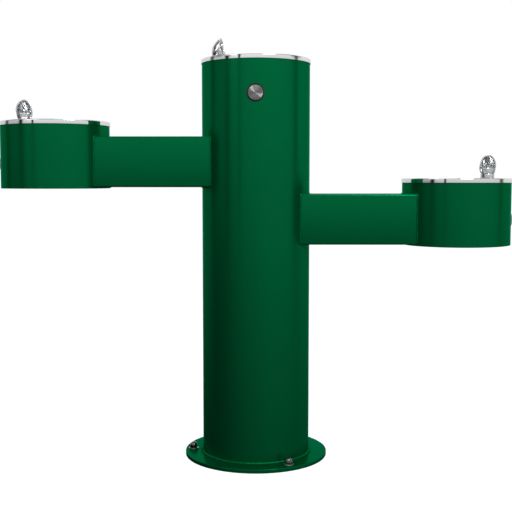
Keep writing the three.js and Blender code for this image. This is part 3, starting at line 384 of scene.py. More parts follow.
DOORWAY_HALF = 60.0
DOOR_LAP = 20.0
DOOR_THICK = 3.0
DOOR_CORNER_R = 9.0
DOOR_SCREW_OUT = 70.0
DOOR_SCREW_IN = 10.0
DOOR_STRIP = 2.5      # width of the flat strips that bend into the door's curve
ANCHOR_HOLE_R = 7.2
WASHER_R, WASHER_THICK = 12.7, 2.4
NUT_ACROSS, NUT_HIGH = 19.0, 7.0
DOME_R, DOME_LOW, DOME_RISE = 8.9, 7.4, 7.8
STUD_R, STUD_LOW = 6.3, -12.0
FOOT_WELD_R, FOOT_WELD_OUT, FOOT_WELD_PITCH, FOOT_WELD_STEPS = 4.6, 1.2, 6.5, 900
ARM_WELD_R, ARM_WELD_PITCH, ARM_WELD_STEP = 2.5, 5.5, 0.9


def ripple_bead(name, path, outs, r, pitch, seed):
    """A closed weld bead along points, its overlapping ripples a pitch apart."""
    rng = random.Random(seed)
    count, sides = len(path), 12
    steps = [(path[(i + 1) % count] - path[i]).length for i in range(count)]
    travel = np.concatenate([[0], np.cumsum(steps)])
    turns = max(1, round(travel[-1] / pitch))
    sizes = [1 + rng.uniform(-0.10, 0.10) for _ in range(turns)]
    verts = []
    for i, point in enumerate(path):
        along = (path[(i + 1) % count] - path[i - 1]).normalized()
        out = (outs[i] - along * outs[i].dot(along)).normalized()
        across = along.cross(out)
        for k in range(sides):
            a = 2 * math.pi * k / sides
            phase = travel[i] / travel[-1] * turns - 0.35 * math.cos(a)
            crest = 1 - 0.16 * (1 - abs(math.sin(math.pi * phase)) ** 0.7)
            size = r * crest * sizes[int(math.floor(phase)) % turns]
            verts.append(point + out * (size * math.cos(a)) + across * (size * math.sin(a)))
    faces = []
    for i in range(count):
        j = (i + 1) % count
        for k in range(sides):
            n = (k + 1) % sides
            faces.append([i * sides + k, i * sides + n, j * sides + n, j * sides + k])
    return smooth(solid(name, (verts, faces)), 60)


def make_post():
    wall = [(BORE_R, FLANGE_THICK), (BORE_R, TOP.painted + TUBE_END),
            (TUBE_R, TOP.painted + TUBE_END), (TUBE_R, FLANGE_THICK)]
    post = solid("post_shell", revolve(wall, FINE))
    boolean(post, button_hole(TOP))
    for side, station in ((-1, LEFT), (1, RIGHT)):
        boolean(post, arm_window(station, (side * 0.6 * TUBE_R, side * 1.2 * TUBE_R)))
    low, high = (corner.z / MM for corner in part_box("access_door"))
    corners = (-DOORWAY_HALF, TUBE_R / 2, low + DOOR_LAP), (DOORWAY_HALF, TUBE_R + 2 * PAST, high - DOOR_LAP)
    boolean(post, solid("tool", block(*corners)))
    kept(true_round(post, 0, TUBE_R, BORE_R), "green_paint", "root", "pedestal_tube")


def make_flange():
    profile = soften([(FLANGE_OPENING_R, 0), (FLANGE_OPENING_R, FLANGE_THICK), (FLANGE_R, FLANGE_THICK),
                      (FLANGE_R, 0)], 1.3, 4, True)
    plate = solid("floor_flange", revolve(profile, FINE))
    for i in (1, 2, 3):
        spot = middle(f"anchor_washer_{i}")
        hole = rod(ANCHOR_HOLE_R, -PAST, FLANGE_THICK + PAST)
        boolean(plate, solid("tool", hole, Matrix.Translation((spot.x, spot.y, 0))))
    kept(smooth(plate, 40), "green_paint", "root", "base_flange")
    turns = [2 * math.pi * i / FOOT_WELD_STEPS for i in range(FOOT_WELD_STEPS)]
    outs = [Vector((math.cos(t), math.sin(t), 0)) for t in turns]
    foot = Vector((0, 0, FLANGE_THICK + FOOT_WELD_OUT))
    path = [foot + out * (TUBE_R + FOOT_WELD_OUT) for out in outs]
    kept(ripple_bead("foot_weld", path, outs, FOOT_WELD_R, FOOT_WELD_PITCH, 3), "green_paint")


def make_anchor(i):
    spot = middle(f"anchor_washer_{i}")
    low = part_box(f"anchor_washer_{i}")[0].z / MM
    at = Matrix.Translation((spot.x, spot.y, low))
    ring = [(ANCHOR_HOLE_R, 0), (ANCHOR_HOLE_R, WASHER_THICK), (WASHER_R, WASHER_THICK), (WASHER_R, 0)]
    washer = solid(f"flat_washer_{i}", revolve(soften(ring, 0.5, 3, True)), at)
    kept(smooth(washer), "zinc_steel", "root", f"anchor_washer_{i}")

    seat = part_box(f"anchor_washer_{i}")[1].z / MM + GAP
    at = Matrix.Translation((spot.x, spot.y, seat)) @ Matrix.Rotation(rad(20 * i), 4, "Z")
    nut = solid(f"cap_nut_{i}", rod(NUT_ACROSS / math.sqrt(3), 0, NUT_HIGH, 6), at)
    cone = [(0, -1), (8.2, -1), (12.6, 2.2), (12.6, 4.6), (9.2, 7.2), (0, 7.2)]
    boolean(nut, solid("tool", revolve(cone), at), "INTERSECT")
    dome = [(0, STUD_LOW), (STUD_R, STUD_LOW), (STUD_R, 3), (DOME_R, 3)]
    dome += [(DOME_R * math.cos(rad(t)), DOME_LOW + DOME_RISE * math.sin(rad(t))) for t in range(0, 90, 10)]
    dome += [(0, DOME_LOW + DOME_RISE)]
    boolean(nut, solid("tool", revolve(dome), at), "UNION")
    bevel(nut, 0.25, 2, 25)
    kept(smooth(nut, 30), "polished_steel", "root", f"anchor_bolt_{i}")
    nut.data.materials[0] = NUT_LOOK


def pan_screw(name, at, head_r, head_high, node=None, shank=9.0):
    """A pan-head screw with a cross recess; Z is out of the head, from its seat."""
    rise = head_high * 0.55
    side, shank_r = head_high - rise, head_r * 0.45
    profile = [(0, -shank), (shank_r, -shank), (shank_r, 0), (head_r, 0), (head_r, side)]
    profile += [(head_r * math.cos(rad(t)) ** 0.6, side + rise * math.sin(rad(t))) for t in range(15, 90, 15)]
    screw = solid(name, revolve(profile + [(0, head_high)], 40), at)
    half_long, half_wide = head_r * 0.55, head_r * 0.11
    for turn in (0, 90):
        slot = block((-half_long, -half_wide, head_high * 0.35), (half_long, half_wide, head_high + 2))
        boolean(screw, solid("tool", slot, at @ Matrix.Rotation(rad(turn + 20), 4, "Z")))
    return kept(smooth(screw, 35), "zinc_steel", "root", *([node] if node else []))


def make_door():
    low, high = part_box("access_door")
    half, r = high.x / MM, TUBE_R + GAP
    z0, z1 = low.z / MM, high.z / MM
    reach, corner = math.asin(half / (r + DOOR_THICK)) * TUBE_R, DOOR_CORNER_R
    outline = []
    for cx, cz, start in ((reach, z1, 0), (-reach, z1, 90), (-reach, z0, 180), (reach, z0, 270)):
        mx, mz = cx - math.copysign(corner, cx), cz + (corner if cz == z0 else -corner)
        for k in range(9):
            t = rad(start + 90 * k / 8)
            outline.append((mx + corner * math.cos(t), mz + corner * math.sin(t)))
    door = solid("rear_door", loft([[(x, y, z) for x, z in outline] for y in (0, DOOR_THICK)]))
    lean, heights = math.asin(DOOR_SCREW_OUT / TUBE_R), (z0 + DOOR_SCREW_IN, z1 - DOOR_SCREW_IN)
    face_out = Matrix.Rotation(rad(-90), 4, "X")
    for turn in (-lean, lean):
        for z in heights:
            hole = rod(2.9, -2, 6, 32)
            boolean(door, solid("tool", hole, Matrix.Translation((turn * TUBE_R, 0, z)) @ face_out))
    bevel(door, 0.6, 3)
    bm = bmesh.new()
    bm.from_mesh(door.data)
    for k in range(-36, 37):
        everything = bm.verts[:] + bm.edges[:] + bm.faces[:]
        bmesh.ops.bisect_plane(bm, geom=everything, plane_co=(k * DOOR_STRIP * MM, 0, 0), plane_no=(1, 0, 0))
    for v in bm.verts:
        turn, out = v.co.x / (TUBE_R * MM), r * MM + v.co.y
        v.co.x, v.co.y = out * math.sin(turn), out * math.cos(turn)
    bm.to_mesh(door.data)
    bm.free()
    kept(smooth(door, 30), "green_paint", "root", "access_door")
    for i, (side, level) in enumerate([(-1, 0), (1, 0), (-1, 1), (1, 1)], 1):
        seat = Matrix.Translation((0, r + DOOR_THICK + GAP, heights[level]))
        at = Matrix.Rotation(-side * lean, 4, "Z") @ seat @ face_out
        pan_screw(f"rear_door_screw_{side + 2}_{level}", at, 5, 2.6, f"door_screw_{i}")


# ---- Arms and drums ----------------------------------------------------------------------------

def box_outline(half, low, high, corner, steps=6, spacing=None):
    """Points (y, z) round a rectangle with rounded corners."""
    out = []
    for cy, cz, start in ((half, high, 0), (-half, high, 90), (-half, low, 180), (half, low, 270)):
        my, mz = cy - math.copysign(corner, cy), cz + (corner if cz == low else -corner)
        turns = [rad(start + 90 * k / steps) for k in range(steps + 1)]
        out += [(my + corner * math.cos(t), mz + corner * math.sin(t)) for t in turns]
    if spacing is None:
        return out
    dense = []
    for (y0, z0), (y1, z1) in zip(out, out[1:] + out[:1]):
        parts = max(1, round(math.dist((y0, z0), (y1, z1)) / spacing))
        dense += [(y0 + (y1 - y0) * k / parts, z0 + (z1 - z0) * k / parts) for k in range(parts)]
    return dense


def make_arm(station):
    node = "arm_" + station.name
    low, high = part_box(node)
    side = math.copysign(1, station.axis_x)
    reach = abs(station.axis_x)
    z0, z1 = low.z / MM, high.z / MM
    ends = sorted((side * 0.6 * TUBE_R, side * (reach - 0.6 * TUBE_R)))
    outer = box_outline(ARM_WIDE / 2, z0, z1, ARM_CORNER_R)
    inner = box_outline(ARM_WIDE / 2 - ARM_WALL, z0 + ARM_WALL, z1 - ARM_WALL, 1.5)
    arm = solid(f"support_arm_{station.name}", loft([[(x, y, z) for y, z in outer] for x in ends]))
    beyond = (ends[0] - PAST, ends[1] + PAST)
    boolean(arm, solid("tool", loft([[(x, y, z) for y, z in inner] for x in beyond])))
    for x in (0, station.axis_x):
        boolean(arm, upright(x, TUBE_R + 0.1, z0 - PAST, z1 + PAST))
    kept(smooth(arm, 25), "green_paint", "root", node)

    outline = box_outline(ARM_WIDE / 2, z0, z1, ARM_CORNER_R, 6, ARM_WELD_STEP)
    for tag, x, facing in (("post", 0, side), ("drum", station.axis_x, -side)):
        path, outs = [], []
        for y, z in outline:
            path.append(Vector((x + facing * math.sqrt(TUBE_R ** 2 - y * y), y, z)))
            level = math.copysign(1, y) if abs(y) > ARM_WIDE / 2 - 2 else 0
            slope = 1 if z > z1 - 2 else -1 if z < z0 + 2 else 0
            outs.append(Vector((facing, level, slope * 1.2)).normalized())
        name = f"{tag}_weld_{station.name}"
        kept(ripple_bead(name, path, outs, ARM_WELD_R, ARM_WELD_PITCH, 11 + len(tag)), "green_paint")


LUG_TURNS = (90, 210, 330)
LUG_DEEP, LUG_HALF, LUG_LOW, LUG_HIGH = 16.0, 9.0, 5.8, 11.8
COVER_R, COVER_THICK = BORE_R - 1, 3.0


def make_drum(station):
    node = "drum_" + station.name
    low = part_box(node)[0].z / MM
    top = station.painted + TUBE_END
    wall = soften([(BORE_R, low), (BORE_R, top), (TUBE_R, top), (TUBE_R, low)], 0.7, 3, True)
    drum = solid(f"bowl_drum_{station.name}", revolve(wall, FINE), Matrix.Translation((station.axis_x, 0, 0)))
    boolean(drum, button_hole(station))
    face = station.axis_x - math.copysign(TUBE_R, station.axis_x)
    boolean(drum, arm_window(station, (face - 40, face + 40)))
    for turn in LUG_TURNS:
        at = Matrix.Translation((station.axis_x, 0, low)) @ Matrix.Rotation(rad(turn), 4, "Z")
        lug_box = block((BORE_R - LUG_DEEP, -LUG_HALF, LUG_LOW), (BORE_R + 2, LUG_HALF, LUG_HIGH))
        lug = solid("tool", lug_box, at)
        boolean(drum, bevel(lug, 1.5), "UNION")
    kept(true_round(drum, station.axis_x, TUBE_R, BORE_R), "green_paint", "root", node)

    node = "drum_cover_" + station.name
    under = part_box(node)[0].z / MM
    at = Matrix.Translation((station.axis_x, 0, under))
    plate = soften([(0, 0), (COVER_R, 0), (COVER_R, COVER_THICK), (0, COVER_THICK)], 0.6, 3)
    cover = solid(f"drum_base_{station.name}", revolve(plate, FINE), at)
    kept(smooth(cover), "green_paint", "root", node)
    seat = Matrix.Translation((BORE_R - LUG_DEEP / 2, 0, 0)) @ Matrix.Rotation(math.pi, 4, "X")
    for k, turn in enumerate(LUG_TURNS):
        spin = Matrix.Rotation(rad(turn), 4, "Z") @ seat
        pan_screw(f"drum_base_screw_{station.name}_{k}", at @ spin, 4.2, 2.0, None, 8)


# ---- Bowls, buttons and bubblers ---------------------------------------------------------------

BASIN_R, BASIN_DEEP, BASIN_LIP = 128.5, 51.0, 2.0
SUMP_R = 24.0
SUMP_FLOOR = -54.0
SHANK_R = 15.0
SHANK_LONG, SHANK_BORE_R = 30.0, 12.4
RIM_ROLL = 2.4
DRAIN_HOLE_R, DRAIN_CIRCLE_R = 2.6, 7.5
BOSS_TOP, BOSS_LOW = -8.0, -42.0
BOSS_R, BUBBLER_HOLE_R = 20.0, 7.7


def basin_curve(wall_r, deep, steps):
    turns = [rad(90 * i / steps) for i in range(steps + 1)]
    wide, drop = wall_r - SUMP_R, deep - BASIN_LIP
    return [(SUMP_R + wide * math.cos(t), -BASIN_LIP - drop * math.sin(t)) for t in turns]


def make_bowl(station):
    at = Matrix.Translation((station.axis_x, 0, station.rim))
    hole_r, under, rim_low = SHANK_R + GAP, SUMP_FLOOR - SHEET, -RIM_TOP + 0.3
    profile = [(SKIRT_R, rim_low)] + arc(SKIRT_R - RIM_ROLL, -RIM_ROLL, RIM_ROLL, 0, 90, 8)
    profile += arc(BASIN_R + BASIN_LIP, -BASIN_LIP, BASIN_LIP, 90, 180, 6)
    profile += basin_curve(BASIN_R, BASIN_DEEP, 28)[1:]
    profile += arc(SUMP_R - 4.2, SUMP_FLOOR + 2.0, 2.0, 0, -90, 4)[1:]
    profile += [(hole_r, SUMP_FLOOR), (hole_r, under), (SUMP_R - 2, under)]
    profile += basin_curve(BASIN_R + SHEET, BASIN_DEEP + SHEET, 20)[:20][::-1]
    profile += [(BASIN_R + SHEET, -SHEET), (SKIRT_R - SHEET, -SHEET), (SKIRT_R - SHEET, rim_low),
                (SKIRT_R - SHEET + 0.4, -RIM_TOP), (SKIRT_R - 0.4, -RIM_TOP)]
    bowl = solid(f"steel_bowl_{station.name}", revolve(profile, FINE), at)
    hub = Matrix.Translation((station.bubbler.x, station.bubbler.y, station.rim))
    boss = soften([(0, BOSS_LOW), (BOSS_R, BOSS_LOW), (BOSS_R, BOSS_TOP), (0, BOSS_TOP)], 1.2, 4)
    boolean(bowl, solid("tool", revolve(boss), hub), "UNION")
    boolean(bowl, solid("tool", rod(BUBBLER_HOLE_R, BOSS_LOW - PAST, BOSS_TOP + PAST), hub))
    kept(smooth(bowl, 35), "polished_steel", "root", "bowl_" + station.name)

    seat = SUMP_FLOOR + GAP
    low = seat - SHANK_LONG
    cap = [(0, seat + 2), (14, seat + 1.9), (18, seat + 1.5), (21, seat), (SHANK_R, seat), (SHANK_R, low),
           (SHANK_BORE_R, low), (SHANK_BORE_R, seat), (0, seat)]
    strainer = solid(f"strainer_{station.name}", revolve(soften(cap, 0.4), ROUND), at)
    for k in range(6):
        spin = at @ Matrix.Rotation(rad(60 * k), 4, "Z") @ Matrix.Translation((DRAIN_CIRCLE_R, 0, 0))
        boolean(strainer, solid("tool", rod(DRAIN_HOLE_R, seat - 1, seat + 3, 32), spin))
    kept(smooth(strainer), "spun_steel", "root", "drain_strainer_" + station.name)


def make_button(station):
    at = station.button_place()
    face, back = BUTTON_FACE, BUTTON_FACE - BUTTON_THICK
    sleeve_end = SLEEVE_FACE - SLEEVE_LONG
    clip = sleeve_end - GAP
    clip_low = clip - CLIP_THICK
    stem = clip_low - BUTTON_TRAVEL - BUTTON_OVERTRAVEL - STEM_TAIL
    profile = [(0, stem), (STEM_R, stem), (STEM_R, clip_low), (CLIP_R, clip_low), (CLIP_R, clip),
               (STEM_R, clip), (STEM_R, back), (BUTTON_R, back), (BUTTON_R, face - BUTTON_CHAMFER),
               (BUTTON_R - BUTTON_CHAMFER, face)]
    profile = soften(profile + [(1.6, face)], 0.25, 2) + [(1.2, face - 0.5), (0, face - 0.8)]
    button = solid(f"button_cap_{station.name}", revolve(profile, 96), at)
    kept(smooth(button, 28), "spun_steel", station.body, "push_button_" + station.name)
    button.data.materials[0] = BUTTON_LOOKS[station.name]

    shelf = sleeve_end + SLEEVE_SHELF
    bore_r, guide_r = STEM_R + SLIDE_GAP, BUTTON_R + SLIDE_GAP
    ring = [(bore_r, sleeve_end), (bore_r, shelf), (guide_r, shelf), (guide_r, SLEEVE_FACE),
            (SLEEVE_R, SLEEVE_FACE), (SLEEVE_R, sleeve_end)]
    sleeve = solid(f"button_guide_{station.name}", revolve(soften(ring, 0.4, 3, True), 96), at)
    # the sleeve's near-black colour paints the shade of the gap round the button
    kept(smooth(sleeve), "black_acetal", "root", "button_sleeve_" + station.name)


SPRING_MEAN_R, SPRING_WIRE_R, SPRING_TURNS = 11.0, 0.8, 3
COIL_STEPS, WIRE_SIDES = 48, 12


def make_spring(station):
    """A coil round the button's axis, running the length of the spring part."""
    node = "button_spring_" + station.name
    centre = Vector((station.axis_x, 0, station.button_z)) * MM
    low, high = sorted((corner - centre).dot(station.outward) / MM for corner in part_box(node))
    steps, up = COIL_STEPS * SPRING_TURNS, Vector((0, 0, 1))
    angles = [2 * math.pi * k / WIRE_SIDES for k in range(WIRE_SIDES)]
    rings = []
    for i in range(steps + 1):
        turn = 2 * math.pi * SPRING_TURNS * i / steps
        out = Vector((math.cos(turn), math.sin(turn), 0))
        rise = low + SPRING_WIRE_R + (high - low - 2 * SPRING_WIRE_R) * i / steps
        spot = out * SPRING_MEAN_R + up * rise
        rings.append([spot + (out * math.cos(a) + up * math.sin(a)) * SPRING_WIRE_R for a in angles])
    at = station.button_place()
    spring = smooth(solid(f"return_spring_{station.name}", loft(rings), at), 50)
    kept(spring, "spring_steel", "root", node)
    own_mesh(spring)


COLLAR_R, SEAM, SPIGOT_R, SPIGOT_HIGH = 17.8, 12.0, 13.0, 13.0
TAIL_R, TAIL_LONG, SUPPLY_BORE_R = 7.4, 54.0, 2.6
NOZZLE_R, NOZZLE_LONG, NOZZLE_BORE_R, NOZZLE_LEAN = 4.6, 15.0, 1.6, 28.0
HOOD_VOXEL, HOOD_SMOOTHINGS = 0.5, 24
HOOD_HIGH, HOOD_HALF, HOOD_FOOT_HALF = 49.0, 21.4, 18.0
HOOD_BACK, HOOD_FRONT, HOOD_LIP, HOOD_TIP = 17.6, 17.0, 7.6, 2.8
HOOD_BULGE, SHOULDER_LOW, SHOULDER_HIGH, HOOD_WALL = 18.0, 15.0, 22.0, 2.6


def ease(x):
    return math.sin(math.pi / 2 * min(1, max(0, x)))


def ramp(x, start, end):
    return min(1, max(0, (x - start) / (end - start)))


def hood_plan(h):
    rise = HOOD_HIGH - HOOD_BULGE
    below = HOOD_FOOT_HALF + (HOOD_HALF - HOOD_FOOT_HALF) * ease(h / HOOD_BULGE)
    above = HOOD_HALF * math.sqrt(max(0, 1 - max(0, (h - HOOD_BULGE) / rise) ** 2.2))
    shoulder = ramp(h, SHOULDER_LOW, SHOULDER_HIGH)
    shoulder = shoulder * shoulder * (3 - 2 * shoulder)
    tip = HOOD_LIP - HOOD_TIP
    return {
        "half": below if h < HOOD_BULGE else above,
        "back": tip - (tip + HOOD_BACK) * ease((HOOD_HIGH - h) / rise),
        "front": HOOD_FRONT + (HOOD_LIP - HOOD_FRONT) * shoulder,
        "centre": (HOOD_LIP - 0.2) * shoulder,
    }


def hood_ring(plan, z, sides):
    ring = []
    for k in range(sides):
        t = 2 * math.pi * k / sides
        forward = math.cos(t)
        reach = plan["front"] - plan["centre"] if forward > 0 else plan["centre"] - plan["back"]
        ring.append((plan["centre"] + reach * forward, plan["half"] * math.sin(t), z))
    return ring


def hood_cavity(base, floor):
    """The hollow, open in front above the shoulder and closed below it."""
    top = HOOD_HIGH - 2 * HOOD_WALL
    rings = []
    for i in range(30):
        h = floor + (top - floor) * i / 29
        plan = hood_plan(h + HOOD_WALL * ramp(h, 26, 41))
        plan.update(centre=HOOD_LIP - 1, front=HOOD_LIP + 12, back=plan["back"] + HOOD_WALL,
                    half=max(1, plan["half"] - 4.6))
        rings.append(hood_ring(plan, base + h, 56))
    cavity = solid("cavity", loft(rings))
    step = base + SHOULDER_LOW - 1
    corners = [(-HOOD_BACK, base + floor), (HOOD_LIP + 1, base + floor), (HOOD_LIP + 1, step),
               (HOOD_FRONT + 10, step), (HOOD_FRONT + 10, base + HOOD_HIGH), (-HOOD_BACK, base + HOOD_HIGH)]
    within = solid("tool", loft([[(x, y, z) for x, z in corners] for y in (-HOOD_HALF, HOOD_HALF)]))
    return boolean(cavity, within, "INTERSECT")


def make_hood():
    """The hood about the bubbler's own frame."""
    base, floor = SEAM + GAP, SPIGOT_HIGH - 1
    heights = [HOOD_HIGH * math.sin(math.pi / 2 * i / 44) for i in range(44)] + [HOOD_HIGH - 0.02]
    hood = solid("hood", loft([hood_ring(hood_plan(h), base + h, 72) for h in heights]))
    boolean(hood, hood_cavity(base, floor))
    boolean(hood, solid("tool", rod(SPIGOT_R + GAP, base - 1, base + floor + 1.5)))
    mod = hood.modifiers.new("remesh", "REMESH")
    mod.mode, mod.voxel_size, mod.adaptivity = "VOXEL", HOOD_VOXEL * MM, 0
    applied(hood)
    bm = bmesh.new()
    bm.from_mesh(hood.data)
    axes = {"use_axis_x": True, "use_axis_y": True, "use_axis_z": True}
    for _ in range(HOOD_SMOOTHINGS):
        bmesh.ops.smooth_vert(bm, verts=bm.verts, factor=0.5, **axes)
    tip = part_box("bubbler_hood_top")[1].z - TOP.rim * MM
    for vert in bm.verts:
        vert.co.z = min(vert.co.z, tip)
    bm.to_mesh(hood.data)
    bm.free()
    hood.data.shade_smooth()
    return hood


def make_body():
    """The bubbler's body, from its shank to its spigot, with the nozzle; about the same frame."""
    seat, top = BOSS_TOP + GAP, SEAM + SPIGOT_HIGH
    low = seat - TAIL_LONG
    trunk = [(0, low), (TAIL_R, low), (TAIL_R, seat), (COLLAR_R, seat), (COLLAR_R, SEAM), (SPIGOT_R, SEAM),
             (SPIGOT_R, top), (0, top)]
    body = solid("body", revolve(soften(trunk, 0.7, 3), ROUND))
    aim = Matrix.Translation((-3, 0, top - 4)) @ Matrix.Rotation(rad(NOZZLE_LEAN), 4, "Y")
    nozzle = [(0, 0), (NOZZLE_R, 0), (NOZZLE_R, NOZZLE_LONG - 2), (NOZZLE_R - 1, NOZZLE_LONG),
              (0, NOZZLE_LONG)]
    boolean(body, solid("tool", revolve(soften(nozzle, 0.6, 3), 40), aim), "UNION")
    boolean(body, solid("tool", rod(NOZZLE_BORE_R, -2, NOZZLE_LONG + 2, 24), aim))
    boolean(body, solid("tool", rod(SUPPLY_BORE_R, low - 2, top - 3, 24)))
    return smooth(body, 35)


def make_bubblers():
    hood, body = make_hood(), make_body()
    for station in STATIONS:
        place = station.bubbler_place()
        place.translation *= MM
        for part, tag, node in ((hood, "spout_hood", "bubbler_hood_"), (body, "spout_body", "bubbler_body_")):
            mesh = part.data.copy()
            mesh.transform(place)
            piece = bpy.data.objects.new(f"{tag}_{station.name}", mesh)
            bpy.context.scene.collection.objects.link(piece)
            kept(piece, "chrome_cast", "root", node + station.name)
    bpy.data.objects.remove(hood)
    bpy.data.objects.remove(body)


# ---- The parts inside, which keep their CAD shapes ---------------------------------------------

HIDDEN = {
    "brass": ["drain_nut", "bubbler_nut", "valve_body"],
    "hose_plastic": ["bubbler_hose"],
}
SINGLE = {
    "waste_plastic": ["waste_arm_left", "waste_arm_right", "waste_stack"],
    "copper": ["supply_tree", "supply_inlet"],
    "brass": ["stop_valve"],
    "zinc_steel": ["stop_lever"],
}


def dress_hidden():
    wanted = [(f"{kind}_{station.name}", slot) for slot, kinds in HIDDEN.items()
              for kind in kinds for station in STATIONS]
    wanted += [(node, slot) for slot, nodes in SINGLE.items() for node in nodes]
    for node, slot in wanted:
        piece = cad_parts[node]
        smooth(piece, 50)
        piece.data.materials.clear()
        piece.data.materials.append(LOOKS[slot])


# ---- Camera, floor and light -------------------------------------------------------------------

FLOOR_HALF = 14       # metres


def make_camera():
    data = bpy.data.cameras.new("camera")
    data.lens, data.sensor_width = 65.61, 36
    camera = bpy.data.objects.new("camera", data)
    camera.location = (0.0184, -2.3861, 0.7079)
    camera.rotation_euler = (rad(90 - 4.662), 0, 0.00763)
    bpy.context.scene.collection.objects.link(camera)
    bpy.context.scene.camera = camera


def make_floor():
    mesh = bpy.data.meshes.new("floor")
    corners = [(-FLOOR_HALF, -FLOOR_HALF), (FLOOR_HALF, -FLOOR_HALF), (FLOOR_HALF, FLOOR_HALF),
               (-FLOOR_HALF, FLOOR_HALF)]
    mesh.from_pydata([(x, y, 0) for x, y in corners], [], [[0, 1, 2, 3]])
    floor = bpy.data.objects.new("floor", mesh)
    bpy.context.scene.collection.objects.link(floor)
    pale = bpy.data.materials.new("floor_pale")
    pale.use_nodes = True
    shader = pale.node_tree.nodes["Principled BSDF"]
    shader.inputs["Base Color"].default_value = (0.5, 0.5, 0.5, 1)
    shader.inputs["Roughness"].default_value = 0.9
    shader.inputs["Specular IOR Level"].default_value = 0
    shader.inputs["Emission Color"].default_value = (1, 1, 1, 1)
    shader.inputs["Emission Strength"].default_value = 0.8
    mesh.materials.append(pale)
    floor.visible_diffuse = False
    floor.visible_glossy = False


def area(name, at, aim, size, height, watts):
    data = bpy.data.lights.new(name, "AREA")
    data.shape, data.size, data.size_y, data.energy = "RECTANGLE", size, height, watts
    lamp = bpy.data.objects.new(name, data)
    lamp.location = at
    lamp.rotation_euler = (Vector(aim) - Vector(at)).to_track_quat("-Z", "Y").to_euler()
    bpy.context.scene.collection.objects.link(lamp)
    lamp.visible_camera = False
    return lamp


# Brightness round the room, by the turn from its front, at rising sines of elevation
ROOM = [
    (-0.26, [(-165, 0.22), (-146, 0.02), (-119, 0.0), (-85, 0.0), (-59, 0.02), (-47, 0.04), (-3, 0.13),
             (28, 0.19), (106, 0.19), (126, 0.27), (170, 0.25)]),
    (-0.07, [(-165, 0.60), (-146, 0.56), (-119, 0.40), (-101, 0.10), (-85, 0.05), (-59, 0.15), (-25, 0.37),
             (-3, 0.40), (17, 0.52), (51, 0.56), (76, 0.55), (90, 0.43), (106, 0.48), (126, 0.72),
             (170, 0.60)]),
    (0.01, [(-165, 0.74), (-112, 0.64), (-105, 0.06), (-99, 0.06), (-95, 0.35), (-68, 0.30), (-64, 0.02),
            (-59, 0.02), (-55, 0.46), (-37, 0.60), (-35.5, 0.01), (-33, 0.01), (-31, 0.62), (0, 0.67),
            (51, 0.70), (84, 0.66), (90, 0.12), (96, 0.12), (102, 0.80), (170, 0.76)]),
    (0.14, [(-165, 0.81), (-112, 0.78), (-105, 0.12), (-99, 0.12), (-95, 0.66), (-68, 0.64), (-64, 0.03),
            (-59, 0.03), (-55, 0.74), (-37, 0.88), (-35.5, 0.01), (-33, 0.01), (-31, 0.85), (51, 0.80),
            (86, 0.80), (90, 0.15), (96, 0.15), (100, 0.85), (170, 0.81)]),
    (0.24, [(-165, 0.85), (-140, 0.85), (-112, 1.0), (-106, 0.03), (-78, 0.08), (-70, 0.80), (-66, 0.02),
            (-56, 0.02), (-51, 0.9), (-38, 1.0), (-36, 0.01), (-32, 0.01), (-30, 0.95), (10, 1.0), (76, 0.9),
            (84, 0.03), (106, 0.03), (112, 1.0), (140, 0.85), (170, 0.85)]),
    (0.60, [(-165, 0.75), (-112, 0.8), (-106, 0.15), (-56, 0.15), (-50, 0.6), (10, 0.7), (76, 0.6),
            (84, 0.15), (106, 0.15), (112, 0.8), (170, 0.75)]),
    (0.85, [(-165, 0.25), (170, 0.25)]),
]


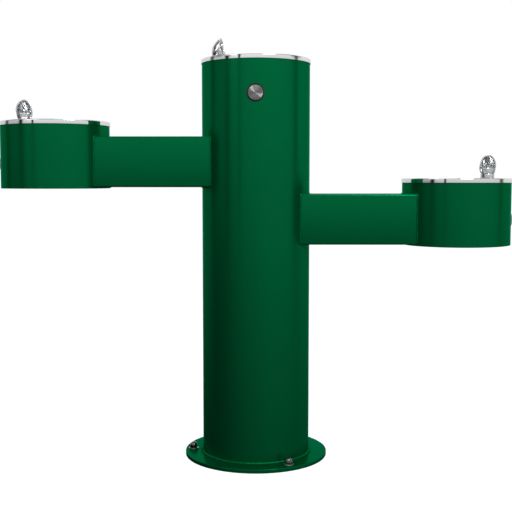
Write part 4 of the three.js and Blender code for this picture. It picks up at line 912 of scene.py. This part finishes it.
def make_world():
    """White to the camera, and a studio of bright and dark panels to everything else."""
    world = bpy.data.worlds.new("studio")
    bpy.context.scene.world = world
    world.use_nodes = True
    tree = world.node_tree
    back = tree.nodes["Background"]

    def math_node(operation, *values):
        node = tree.nodes.new("ShaderNodeMath")
        node.operation = operation
        for socket, value in zip(node.inputs, values):
            if isinstance(value, (int, float)):
                socket.default_value = value
            else:
                tree.links.new(value, socket)
        return node.outputs[0]

    coords = tree.nodes.new("ShaderNodeTexCoord")
    split = tree.nodes.new("ShaderNodeSeparateXYZ")
    tree.links.new(coords.outputs["Generated"], split.inputs[0])
    x, y, z = split.outputs
    turn = math_node("ARCTAN2", x, math_node("MULTIPLY", y, -1))
    share = math_node("MULTIPLY_ADD", turn, 1 / (2 * math.pi), 0.5)

    def ring(stops):
        node = tree.nodes.new("ShaderNodeValToRGB")
        marks = node.color_ramp.elements
        marks.remove(marks[1])
        (first_turn, first), *rest = stops
        marks[0].position, marks[0].color = (first_turn + 180) / 360, (first,) * 3 + (1,)
        for turn_deg, value in rest:
            marks.new((turn_deg + 180) / 360).color = (value,) * 3 + (1,)
        tree.links.new(share, node.inputs[0])
        return node.outputs[0]

    level = ring(ROOM[0][1])
    for (under, _), (over, stops) in zip(ROOM, ROOM[1:]):
        part = tree.nodes.new("ShaderNodeMapRange")
        part.inputs["From Min"].default_value, part.inputs["From Max"].default_value = under, over
        tree.links.new(z, part.inputs["Value"])
        blend = tree.nodes.new("ShaderNodeMix")
        tree.links.new(part.outputs["Result"], blend.inputs["Factor"])
        tree.links.new(level, blend.inputs["A"])
        tree.links.new(ring(stops), blend.inputs["B"])
        level = blend.outputs["Result"]
    path = tree.nodes.new("ShaderNodeLightPath")
    shown = math_node("MAXIMUM", level, path.outputs["Is Camera Ray"])
    tree.links.new(shown, back.inputs["Strength"])
    back.inputs["Color"].default_value = (1, 1, 1, 1)


def make_lights():
    area("key", (0.9, -1.5, 2.3), (0, 0, 0.7), 0.8, 0.8, 26)
    area("fill", (-1.6, -1.2, 1.9), (-0.2, 0, 0.8), 1.0, 1.0, 5)
    area("overhead", (0, 0.3, 2.4), (0, 0, 0.8), 1.2, 0.8, 6)


bpy.context.scene.view_settings.view_transform = "Standard"
make_camera()
make_floor()
make_world()
make_lights()
make_post()
make_flange()
for number in (1, 2, 3):
    make_anchor(number)
make_door()
for side_station in (LEFT, RIGHT):
    make_arm(side_station)
    make_drum(side_station)
for each in STATIONS:
    make_bowl(each)
    make_button(each)
    make_spring(each)
make_bubblers()
dress_hidden()
